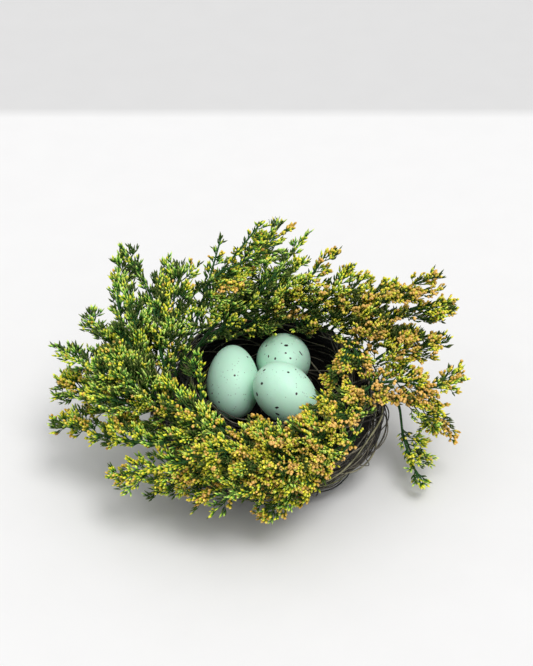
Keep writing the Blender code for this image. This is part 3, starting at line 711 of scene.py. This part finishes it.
def clumped(points):
    """How thickly flowers stand at each point: the sum of a few sine waves that run through space."""
    rng = np.random.default_rng(CLUMP_SEED)
    ways = unit(rng.normal(size=(CLUMP_WAVES, 3)))
    ways = ways * 2 * math.pi / rng.uniform(*CLUMP_LENGTHS, (CLUMP_WAVES, 1))
    return np.sin(points @ ways.T + rng.uniform(0, 2 * math.pi, CLUMP_WAVES)).sum(-1)


def grow_florets(rng, lines, lengths, first, tones, spacing, sprays):
    """Florets stand in two rows along the upper side of each line, from a share of its length on. Each
    leans forwards and curves up, and is left out where its foot or tip would be out of place. Their dryness
    scatters by a two-sided exponential round the line's own and is greater outwards. In the gaps between
    the clumps, and more so in the part that the back sprays shade, they are fewer, and those left there are
    green and darkened as painted shade."""
    parents, shares, rank = spaced(rng, lengths, spacing, first, 1.0)
    count = len(shares)
    angles = drawn_angles(rng, FLORET_ANGLES, count)
    turns = math.pi / 2 + FLORET_ROW * (1 - 2 * (rank % 2)) + rng.normal(0, FLORET_STRAY, count)
    longer = sprays.floret_length * rng.uniform(0.72, 1.15, count) * (1 - 0.2 * shares)
    made = offshoots(lines, parents, shares, longer, angles, turns, FLORET_RINGS, FLORET_LIFT)
    kept = ~out_of_place(made[:, [0, -1]], 0.0).any(1)
    thickness = clumped(made[:, 0]) + rng.normal(0, CLUMP_STRAY, count)
    # painted shade under the back sprays: more florets there are left out or darkened
    shaded = (made[:, 0, 2] < SHADE_BELOW) & (made[:, 0, 1] > SHADE_BEHIND)
    between = thickness < GAP_LEVEL + SHADE_MORE * shaded
    kept &= ~between | (rng.random(count) < GAP_SHARE)
    dryness = tones[parents] + DRYNESS_GROWTH * (shares - 0.5) + rng.laplace(0, FLORET_SCATTER, count)
    # painted shade: the florets in the gaps and under the back sprays get the darkest green
    dryness[between] = 0
    return made[kept, 1:-1], longer[kept], dryness[kept]


def floret_tubes(rng, florets, lengths, dryness, sprays, slot):
    """Florets as tubes of two rings that end in points. They are slim closed buds where they are green, and
    open wider towards a blunter tip the drier they are."""
    dryness = np.clip(dryness, *DRY_RANGE)
    bloom = np.clip(dryness * 1.6 - 0.55 + rng.normal(0, 0.2, len(dryness)), 0, 1)
    shape = BUD_SHAPE + (FLOWER_SHAPE - BUD_SHAPE) * bloom[:, None]
    radii = sprays.floret_radius * shape * rng.uniform(0.8, 1.15, len(dryness))[:, None]
    reaches = (lengths * BUD_POINT, lengths * (BUD_POINT - BLUNTING * bloom))
    return tubes(florets, radii, FLORET_SIDES, FLORET_SHARES, dryness, slot, reaches)


def make_spray(index, sprays, materials):
    """A stem with its branches, twigs and florets, in place of one spray's solid. The drier a spray is, the
    wider apart its twigs stand, the longer they are bare and the closer its florets stand."""
    name, route, reaches, bare, dryness = SPRIGS[index]
    bare, dryness = bare / 100, dryness / 100
    rng = np.random.default_rng(SPRAY_SEED + index)
    stem = curve_through(np.array(route) * MM, STEM_RINGS)[None]
    length = lengths_along(stem[0])[-1:]
    reaches = np.reshape(reaches, (2, 2)) * MM
    forks, fork_lengths = grow_forks(rng, stem, length, reaches, bare)
    grown = (
        grow_branches(rng, stem, length, reaches, bare, sprays),
        grow_branches(rng, forks, fork_lengths, reaches * FORK_SHARE, FORK_BARE, sprays),
    )
    branches, branch_lengths = (np.concatenate(item) for item in zip(*grown))
    twig_spacing = sprays.twig_spacing * (TWIG_GAP + DRY_TWIG_GAP * dryness)
    twigs, twig_lengths, parents = grow_twigs(rng, branches, branch_lengths, twig_spacing, sprays)
    tones = dryness + rng.normal(0, BRANCH_SCATTER, len(branches))
    twig_tones = tones[parents] + rng.normal(0, TWIG_SCATTER, len(twigs))
    stalks, flowers = 0, 1
    parts = []
    for lines, (thick, sides, tone) in zip((stem, forks, branches, twigs), SHOOTS):
        along = np.linspace(0, 1, lines.shape[1] + 2)
        radii = np.tile(thick * (1 - SHOOT_TAPER * along[1:-1]), (len(lines), 1))
        parts.append(tubes(lines, radii, sides, along, np.full(len(lines), tone), stalks))
    stem_start = STEM_TIP if reaches.min() > BARE_REACH else BARE_STEM_TIP
    rows = (
        (twigs, twig_lengths, TWIG_BARE + DRY_TWIG_BARE * dryness, twig_tones),
        (branches, branch_lengths, BRANCH_BARE, tones),
        (forks, fork_lengths, FORK_TIP, np.full(len(forks), dryness)),
        (stem, length, stem_start, np.array([dryness])),
    )
    spacing = sprays.floret_spacing * (1 - DRY_FLORET_GAP * dryness)
    made = [grow_florets(rng, *row, spacing, sprays) for row in rows]
    florets = (np.concatenate(item) for item in zip(*made))
    parts.append(floret_tubes(rng, *florets, sprays, flowers))
    new_piece(f"sprig_{name}_flowers", parts, materials, f"sprig_{name}")


# Materials


def feed(tree, node, inputs):
    """Links each input of a node from a socket, or sets it to a value."""
    for key, value in dict(inputs).items():
        if isinstance(value, bpy.types.NodeSocket):
            tree.links.new(value, node.inputs[key])
        else:
            node.inputs[key].default_value = value


def add_node(tree, kind, inputs=(), **settings):
    """A node with its settings and its inputs."""
    node = tree.nodes.new(kind)
    for key, value in settings.items():
        setattr(node, key, value)
    feed(tree, node, inputs)
    return node


def add_math(tree, operation, *values):
    """The result of an operation on numbers."""
    return add_node(tree, "ShaderNodeMath", enumerate(values), operation=operation).outputs[0]


def add_vector(tree, operation, inputs, result="Vector"):
    """The result of an operation on vectors, which is a vector or a number."""
    return add_node(tree, "ShaderNodeVectorMath", inputs, operation=operation).outputs[result]


def scaled(tree, vector, scale):
    """A vector or a colour times a number."""
    return add_vector(tree, "SCALE", {0: vector, "Scale": scale})


def add_range(tree, value, start, end, low=0.0, high=1.0, **settings):
    """A number carried from the range start to end over to the range low to high, and held there."""
    inputs = {"Value": value, "From Min": start, "From Max": end, "To Min": low, "To Max": high}
    return add_node(tree, "ShaderNodeMapRange", inputs, **settings).outputs["Result"]


def add_mix(tree, share, first, second):
    """A mix of two colours, each a socket or three numbers."""
    pair = (end if isinstance(end, bpy.types.NodeSocket) else (*end, 1.0) for end in (first, second))
    inputs = zip((0, 6, 7), (share, *pair))
    return add_node(tree, "ShaderNodeMix", inputs, data_type="RGBA", clamp_factor=True).outputs[2]


def add_ramp(tree, value, stops):
    """A colour ramp through (place, colour) stops."""
    node = add_node(tree, "ShaderNodeValToRGB", {"Fac": value})
    elements = node.color_ramp.elements
    while len(elements) < len(stops):
        elements.new(0.5)
    for element, (place, colour) in zip(elements, stops):
        element.position = place
        element.color = (*colour, 1.0)
    return node.outputs["Color"]


def tinted(colour, share):
    """A colour made darker or lighter by a share."""
    return tuple(np.array(colour) * share)


def new_group(name, vectors, numbers, result):
    """A shader node group with named vectors and numbers as its inputs, and one number as its result."""
    tree = bpy.data.node_groups.new(name, "ShaderNodeTree")
    for label in vectors:
        tree.interface.new_socket(label, in_out="INPUT", socket_type="NodeSocketVector")
    for label, value in numbers.items():
        socket = tree.interface.new_socket(label, in_out="INPUT", socket_type="NodeSocketFloat")
        socket.default_value = value
    tree.interface.new_socket(result, in_out="OUTPUT", socket_type="NodeSocketFloat")
    given, made = tree.nodes.new("NodeGroupInput"), tree.nodes.new("NodeGroupOutput")
    return tree, given.outputs, made.inputs[result]


def grain_group():
    """Fractal noise, stretched from its usual range to the one between Low and High."""
    found = bpy.data.node_groups.get("fine_grain")
    if found:
        return found
    numbers = {"Scale": 5.0, "Detail": 3.0, "Low": 0.0, "High": 1.0}
    tree, given, made = new_group("fine_grain", ["Vector"], numbers, "Value")
    noise = add_node(tree, "ShaderNodeTexNoise", {key: given[key] for key in ("Vector", "Scale", "Detail")})
    tree.links.new(add_range(tree, noise.outputs["Fac"], 0.3, 0.7, given["Low"], given["High"]), made)
    return tree


def speckle_group():
    """1 inside a speckle and 0 outside it: the distance to a short line through Centre, with a soft edge."""
    found = bpy.data.node_groups.get("speckle")
    if found:
        return found
    vectors, numbers = ("Vector", "Centre", "Way"), {"Half Length": 0.0, "Radius": 0.0005}
    tree, given, made = new_group("speckle", vectors, numbers, "Mask")
    away = add_vector(tree, "SUBTRACT", {0: given["Vector"], 1: given["Centre"]})
    along = add_vector(tree, "DOT_PRODUCT", {0: away, 1: given["Way"]}, "Value")
    low = add_math(tree, "MULTIPLY", given["Half Length"], -1.0)
    held = add_math(tree, "MAXIMUM", low, add_math(tree, "MINIMUM", along, given["Half Length"]))
    off = add_vector(tree, "SUBTRACT", {0: away, 1: scaled(tree, given["Way"], held)})
    distance = add_vector(tree, "LENGTH", {0: off}, "Value")
    share = add_math(tree, "DIVIDE", distance, given["Radius"])
    tree.links.new(add_range(tree, share, *SPECKLE_EDGE, 1.0, 0.0, interpolation_type="SMOOTHSTEP"), made)
    return tree


def add_grain(tree, vector, scale, detail, low=0.0, high=1.0):
    """Fractal noise as a number from low to high. Its scale is one number, or three along the axes."""
    if isinstance(scale, tuple):
        vector = add_node(tree, "ShaderNodeMapping", {"Vector": vector, "Scale": scale}).outputs["Vector"]
        scale = 1.0
    inputs = {"Vector": vector, "Scale": scale, "Detail": detail, "Low": low, "High": high}
    return add_node(tree, "ShaderNodeGroup", inputs, node_tree=grain_group()).outputs["Value"]


def object_space(tree):
    """Places in the piece's own space, in metres."""
    return add_node(tree, "ShaderNodeTexCoord").outputs["Object"]


def map_places(tree):
    """The piece's own map as a vector, and its two numbers: place along, and tone."""
    places = add_node(tree, "ShaderNodeUVMap", uv_map=BAKE_MAP).outputs["UV"]
    parts = add_node(tree, "ShaderNodeSeparateXYZ", {0: places})
    return places, parts.outputs[0], parts.outputs[1]


def new_material(name):
    """A material and its node tree."""
    material = bpy.data.materials.new(name)
    material.use_nodes = True
    return material, material.node_tree


def finished(material, colour, roughness, bump=None, others=()):
    """The material with its shader fed: its colour and roughness, a bump, and other inputs by their names.
    The bump is its height, or the scale of the fine grain that is its height, its strength and distance."""
    tree = material.node_tree
    inputs = {"Base Color": colour, "Roughness": roughness, **dict(others)}
    if bump:
        height, *size = bump
        if isinstance(height, float):
            height = add_grain(tree, object_space(tree), height, 2.0)
        raised = add_node(tree, "ShaderNodeBump", zip(("Height", "Strength", "Distance"), (height, *size)))
        inputs["Normal"] = raised.outputs["Normal"]
    feed(tree, tree.nodes["Principled BSDF"], inputs)
    return material


def vine_material(bowl):
    """Dry vine bark: near black to grey brown from strand to strand, some olive, mottled along."""
    material, tree = new_material("woven_vine")
    places, _, tone = map_places(tree)
    middling = tuple(np.array(bowl.vine_dark) * 0.6 + np.array(bowl.vine_light) * 0.25)
    stops = ((0.15, bowl.vine_dark), (0.42, middling), (0.70, bowl.vine_light), (0.88, bowl.vine_olive))
    bark = scaled(tree, add_ramp(tree, tone, stops), add_grain(tree, places, (26, 90, 1), 4.0, 0.45, 1.5))
    rough = add_grain(tree, places, (40, 60, 1), 2.0, 0.32, 0.60)
    return finished(material, bark, rough, (1500.0, 0.5, 0.0002))


def core_material(bowl):
    """The packed fibre under the strands, darker than they are: partly its own dark colour and partly
    painted shade in the gaps between the strands.
    """
    material, tree = new_material("vine_fibre_and_painted_shade")
    fibre = add_grain(tree, map_places(tree)[0], (220, 900, 1), 4.0)
    # painted shade: the core is darker than the darkest strand, down to about a third of its colour
    stops = ((0.3, tinted(bowl.vine_dark, 0.35)), (0.9, tinted(bowl.vine_dark, 1.2)))
    return finished(material, add_ramp(tree, fibre, stops), 0.85, (fibre, 1.0, 0.0006))


def shell_material(name, eggs, speckles):
    """A pale shell with a faint cloudiness, small dark speckles with ragged edges and much fainter fine
    flecks, each a disc in the cell of a cell pattern."""
    material, tree = new_material(f"{name}_shell")
    space = object_space(tree)
    cloud = add_grain(tree, space, 90.0, 3.0)
    colour = add_mix(tree, cloud, tinted(eggs.shell, 0.94), eggs.shell)
    wobble = add_node(tree, "ShaderNodeTexNoise", {"Vector": space, "Scale": 1500.0, "Detail": 2.0})
    centred = add_vector(tree, "SUBTRACT", {0: wobble.outputs["Color"], 1: (0.5, 0.5, 0.5)})
    warped = add_vector(tree, "ADD", {0: space, 1: scaled(tree, centred, eggs.speckle_wobble)})
    cells = add_node(tree, "ShaderNodeTexVoronoi", {"Vector": space, "Scale": 620.0, "Randomness": 1.0})
    fleck = add_math(tree, "LESS_THAN", cells.outputs["Distance"], FLECK_SIZE)
    chosen = add_math(tree, "GREATER_THAN", add_grain(tree, space, 300.0, 1.0), FLECK_LEVEL)
    faint = add_math(tree, "MULTIPLY", add_math(tree, "MULTIPLY", fleck, chosen), FLECK_SHARE)
    colour = add_mix(tree, faint, colour, eggs.speckle)
    mask = None
    for place, way, half, radius in speckles:
        inputs = {"Vector": warped, "Centre": place, "Way": way, "Half Length": half, "Radius": radius}
        share = add_node(tree, "ShaderNodeGroup", inputs, node_tree=speckle_group()).outputs["Mask"]
        if radius < SMALL_SPECKLE:
            share = add_math(tree, "MULTIPLY", share, SMALL_SHARE)
        mask = share if mask is None else add_math(tree, "MAXIMUM", mask, share)
    colour = add_mix(tree, mask, colour, eggs.speckle)
    rough = add_grain(tree, space, 700.0, 2.0, 0.50, 0.62)
    pores = add_grain(tree, space, 900.0, 3.0)
    return finished(material, colour, rough, (pores, 0.12, 0.0002), SHELL_SHEEN)


def stem_material(sprays):
    """Dry green stems, paler along some stretches."""
    material, tree = new_material("spray_stems")
    places = map_places(tree)[0]
    patch = add_grain(tree, places, (18, 40, 1), 3.0)
    colour = add_mix(tree, patch, sprays.stem_green, tinted(sprays.stem_green, 2.2))
    rough = add_grain(tree, places, 60.0, 2.0, 0.45, 0.65)
    return finished(material, colour, rough, (1800.0, 0.3, 0.0001), PLANT_SHEEN)


def flower_material(sprays):
    """Florets: dark at the foot, partly their own darker base and partly painted shade inside the spray, and
    green or yellow or tan at the lip by their dryness, each a little lighter or darker than the next. Those
    in the gaps between the clumps and under the back sprays are darkened all over as painted shade."""
    material, tree = new_material("small_flowers")
    places, along, dry = map_places(tree)
    # a floret's dark foot is partly painted shade inside the spray
    foot = tinted(sprays.stem_green, FOOT_SHADE)
    green = ((0.08, foot), (0.36, sprays.bud_green), (0.72, sprays.lip_green), (0.94, sprays.lip_lime))
    yellow = ((0.08, foot), (0.42, sprays.bud_lime), (0.74, sprays.lip_yellow), (0.94, sprays.lip_bright))
    tan = ((0.08, foot), (0.36, sprays.bud_olive), (0.62, sprays.lip_tan), (0.90, sprays.lip_pink))
    green, yellow, tan = (add_ramp(tree, along, stops) for stops in (green, yellow, tan))
    colour = add_mix(tree, add_range(tree, dry, 0.26, 0.52), green, yellow)
    colour = add_mix(tree, add_range(tree, dry, 0.60, 0.80), colour, tan)
    grain = add_grain(tree, places, (2, 210, 1), 2.0, 0.50, 1.50)
    # painted shade: the florets of least dryness, those in the gaps, are darkened all over
    deep = add_range(tree, dry, 0.13, 0.20, sprays.painted_gap_shade)
    colour = scaled(tree, colour, add_math(tree, "MULTIPLY", grain, deep))
    rough = add_grain(tree, places, 90.0, 2.0, 0.48, 0.70)
    return finished(material, colour, rough, (1600.0, 0.35, 0.0002), PLANT_SHEEN)


def floor_material(stage):
    """A pale table, a little greyer past its far edge, with the faintest grain."""
    material, tree = new_material("pale_floor")
    space = object_space(tree)
    back = add_node(tree, "ShaderNodeSeparateXYZ", {0: space}).outputs[1]
    past = add_range(tree, back, stage.floor_edge - EDGE_BLUR, stage.floor_edge + EDGE_BLUR)
    colour = add_mix(tree, past, stage.floor, tinted(stage.floor, stage.far_shade))
    colour = scaled(tree, colour, add_grain(tree, space, 30.0, 3.0, 0.985, 1.0))
    rough = add_grain(tree, space, 60.0, 2.0, 0.55, 0.65)
    return finished(material, colour, rough, others=FLOOR_SHEEN)


# Stage


def make_camera():
    """A camera that sees the nest from where the photograph was taken, with the same focal length."""
    camera = bpy.data.cameras.new("camera")
    camera.lens = FOCAL_PIXELS / PHOTO_SIZE.max() * SENSOR
    camera.sensor_width = SENSOR
    camera.clip_start = 0.01
    thing = new_object("camera", camera)
    thing.location = CAMERA_PLACE
    thing.rotation_euler = (math.pi / 2 - CAMERA_PITCH, 0, 0)
    bpy.context.scene.camera = thing


def make_key_light(stage):
    """A soft light high above the nest, a little to the front and to the right."""
    light = bpy.data.lights.new("key_light", "SUN")
    light.energy, light.color, light.angle = stage.key_strength, stage.key_colour, stage.key_width
    new_object("key_light", light).rotation_euler = (stage.key_front, stage.key_right, 0)


def make_floor(stage):
    """A flat square, large enough to fill every view."""
    mesh = bpy.data.meshes.new("floor")
    half = stage.floor_size / 2
    corners = [(-half, -half, 0), (half, -half, 0), (half, half, 0), (-half, half, 0)]
    mesh.from_pydata(corners, [], [(0, 1, 2, 3)])
    mesh.materials.append(floor_material(stage))
    new_object("floor", mesh)


def make_world(stage):
    """Light from all round that grows from level to overhead with the height it comes from."""
    world = bpy.data.worlds.new("studio")
    world.use_nodes = True
    tree = world.node_tree
    way = add_node(tree, "ShaderNodeTexCoord").outputs["Generated"]
    height = add_node(tree, "ShaderNodeSeparateXYZ", {0: way}).outputs[2]
    strength = add_range(tree, height, 0.0, 1.0, stage.fill_level, stage.fill_overhead)
    feed(tree, tree.nodes["Background"], {"Color": (*stage.fill_colour, 1.0), "Strength": strength})
    bpy.context.scene.world = world


# Settings that a user would change


def number(name, description, value, **limits):
    """A number of at least 0, which is a share or a strength unless other limits are given."""
    limits = limits or {"subtype": "FACTOR"}
    return bpy.props.FloatProperty(name=name, description=description, default=value, min=0, **limits)


def length(name, description, value):
    """A length in metres."""
    return number(name, description, value, unit="LENGTH", precision=5)


def colour(name, description, value):
    """A colour as shares of red, green and blue light."""
    limits = {"size": 3, "min": 0, "max": 1, "subtype": "COLOR"}
    return bpy.props.FloatVectorProperty(name=name, description=description, default=value, **limits)


def angle(name, description, degrees):
    """An angle, given in degrees."""
    limits = {"default": math.radians(degrees), "subtype": "ANGLE", "unit": "ROTATION"}
    return bpy.props.FloatProperty(name=name, description=description, **limits)


class NEST_PG_bowl(bpy.types.PropertyGroup):
    strand_radius: length("Strand radius", "Radius of a strand of vine of middling thickness", 0.00042)
    core_depth: length("Core depth", "How far the dark core lies under the nest's skin", 0.0062)
    loop_height: number("Loop height", "How far loose strands stand out, 1 as in the photograph", 1.0)
    vine_dark: colour("Dark vine", "Colour of the darkest strands", (0.007, 0.005, 0.004))
    vine_light: colour("Light vine", "Colour of the dry grey strands", (0.290, 0.260, 0.190))
    vine_olive: colour("Olive vine", "Colour of strands that still have green bark", (0.210, 0.225, 0.060))


class NEST_PG_eggs(bpy.types.PropertyGroup):
    shell: colour("Shell", "Colour of the eggshell", (0.610, 0.960, 0.760))
    speckle: colour("Speckle", "Colour of the speckles", (0.006, 0.004, 0.003))
    speckle_wobble: length("Speckle wobble", "How ragged the speckles' edges are", 0.0005)


class NEST_PG_sprays(bpy.types.PropertyGroup):
    branch_spacing: length("Branch spacing", "Along a stem", 0.0020)
    branch_length: number("Branch length", "Length of the branches, as a share of the sprays' reach", 1.12)
    twig_spacing: length("Twig spacing", "Along a branch", 0.0023)
    twig_length: length("Twig length", "Length of a twig near a branch's foot", 0.0095)
    floret_spacing: length("Floret spacing", "Along a twig", 0.00100)
    floret_length: length("Floret length", "Length of a floret", 0.0048)
    floret_radius: length("Floret radius", "Radius of a floret", 0.00066)
    # painted shade of the florets in the gaps between the clumps and under the back sprays
    painted_gap_shade: number("Deep shade", "How dark the florets between the clumps are, as a share", 0.17)
    stem_green: colour("Stem", "Colour of the stems", (0.019, 0.062, 0.016))
    bud_green: colour("Green bud", "Body of a fresh floret", (0.125, 0.410, 0.050))
    lip_green: colour("Green lip", "Upper part of a fresh floret", (0.490, 0.820, 0.140))
    lip_lime: colour("Lime lip", "Tip of a fresh floret", (0.920, 0.980, 0.310))
    bud_lime: colour("Lime bud", "Body of a yellow floret", (0.098, 0.285, 0.026))
    lip_yellow: colour("Yellow lip", "Upper part of a yellow floret", (0.860, 0.810, 0.028))
    lip_bright: colour("Bright lip", "Tip of a yellow floret", (0.980, 0.930, 0.140))
    bud_olive: colour("Olive bud", "Body of a dry floret", (0.102, 0.185, 0.020))
    lip_tan: colour("Tan lip", "Upper part of a dry floret", (0.690, 0.400, 0.038))
    lip_pink: colour("Pink lip", "Tip of a dry floret", (0.930, 0.580, 0.200))


class NEST_PG_stage(bpy.types.PropertyGroup):
    floor: colour("Floor", "Colour of the floor", (0.86, 0.86, 0.865))
    floor_size: length("Floor size", "Side of the floor", 12.0)
    floor_edge: length("Floor edge", "How far behind the nest the floor turns greyer", 0.404)
    far_shade: number("Far shade", "How dark the floor is past that edge, as a share", 0.80)
    fill_colour: colour("Fill colour", "Colour of the light from all round", (1.0, 1.0, 1.0))
    fill_level: number("Level fill", "Strength of the light from all round at the horizon", 0.38)
    fill_overhead: number("Overhead fill", "Strength of the light from all round overhead", 0.92)
    key_colour: colour("Key colour", "Colour of the soft light overhead", (1.0, 0.99, 0.975))
    key_strength: number("Key strength", "Strength of the soft light overhead", 1.34)
    key_width: angle("Key width", "How wide the light overhead is, seen from the nest", 30)
    key_right: angle("Key to the right", "How far from overhead the light stands to the right", 18)
    key_front: angle("Key to the front", "How far from overhead the light stands to the front", 14)


# Steps of the work


class NEST_OT_stage(bpy.types.Operator):
    """Sets up the floor, the lights and the camera"""

    bl_idname = "nest.stage"
    bl_label = "Floor, lights and camera"

    def execute(self, context):
        stage = context.scene.nest_stage
        make_camera()
        make_floor(stage)
        make_world(stage)
        make_key_light(stage)
        context.scene.view_settings.view_transform = "Standard"
        return {"FINISHED"}


class NEST_OT_bowl(bpy.types.Operator):
    """Weaves the bowl of vine"""

    bl_idname = "nest.bowl"
    bl_label = "Vine bowl"

    def execute(self, context):
        make_bowl(context.scene.nest_bowl)
        return {"FINISHED"}


class NEST_OT_eggs(bpy.types.Operator):
    """Makes the three speckled eggs"""

    bl_idname = "nest.eggs"
    bl_label = "Speckled eggs"

    def execute(self, context):
        rng = np.random.default_rng(EGG_SEED)
        for name in EGGS:
            make_egg(name, context.scene.nest_eggs, rng)
        return {"FINISHED"}


class NEST_OT_sprays(bpy.types.Operator):
    """Grows the flowering sprays"""

    bl_idname = "nest.sprays"
    bl_label = "Flowering sprays"

    def execute(self, context):
        sprays = context.scene.nest_sprays
        materials = [stem_material(sprays), flower_material(sprays)]
        for index in range(len(SPRIGS)):
            make_spray(index, sprays, materials)
        return {"FINISHED"}


class NEST_PT_dress(bpy.types.Panel):
    """Lists the settings and the steps"""

    bl_idname = "NEST_PT_dress"
    bl_label = "Nest"
    bl_space_type = "VIEW_3D"
    bl_region_type = "UI"
    bl_category = "Nest"

    def draw(self, context):
        for holder, group, operator in STEPS:
            box = self.layout.box()
            for key in group.__annotations__:
                box.prop(getattr(context.scene, holder), key)
            box.operator(operator.bl_idname)


STEPS = (
    ("nest_stage", NEST_PG_stage, NEST_OT_stage),
    ("nest_bowl", NEST_PG_bowl, NEST_OT_bowl),
    ("nest_eggs", NEST_PG_eggs, NEST_OT_eggs),
    ("nest_sprays", NEST_PG_sprays, NEST_OT_sprays),
)


def register():
    """Registers the settings, the steps and the panel that lists them."""
    for holder, group, operator in STEPS:
        bpy.utils.register_class(group)
        bpy.utils.register_class(operator)
        setattr(bpy.types.Scene, holder, bpy.props.PointerProperty(type=group))
    bpy.utils.register_class(NEST_PT_dress)


def unregister():
    """Takes them away again, in the opposite order."""
    bpy.utils.unregister_class(NEST_PT_dress)
    for holder, group, operator in reversed(STEPS):
        delattr(bpy.types.Scene, holder)
        bpy.utils.unregister_class(operator)
        bpy.utils.unregister_class(group)


def main():
    """Takes all the steps in order."""
    register()
    bpy.ops.nest.stage()
    bpy.ops.nest.bowl()
    bpy.ops.nest.eggs()
    bpy.ops.nest.sprays()


if __name__ == "__main__":
    main()
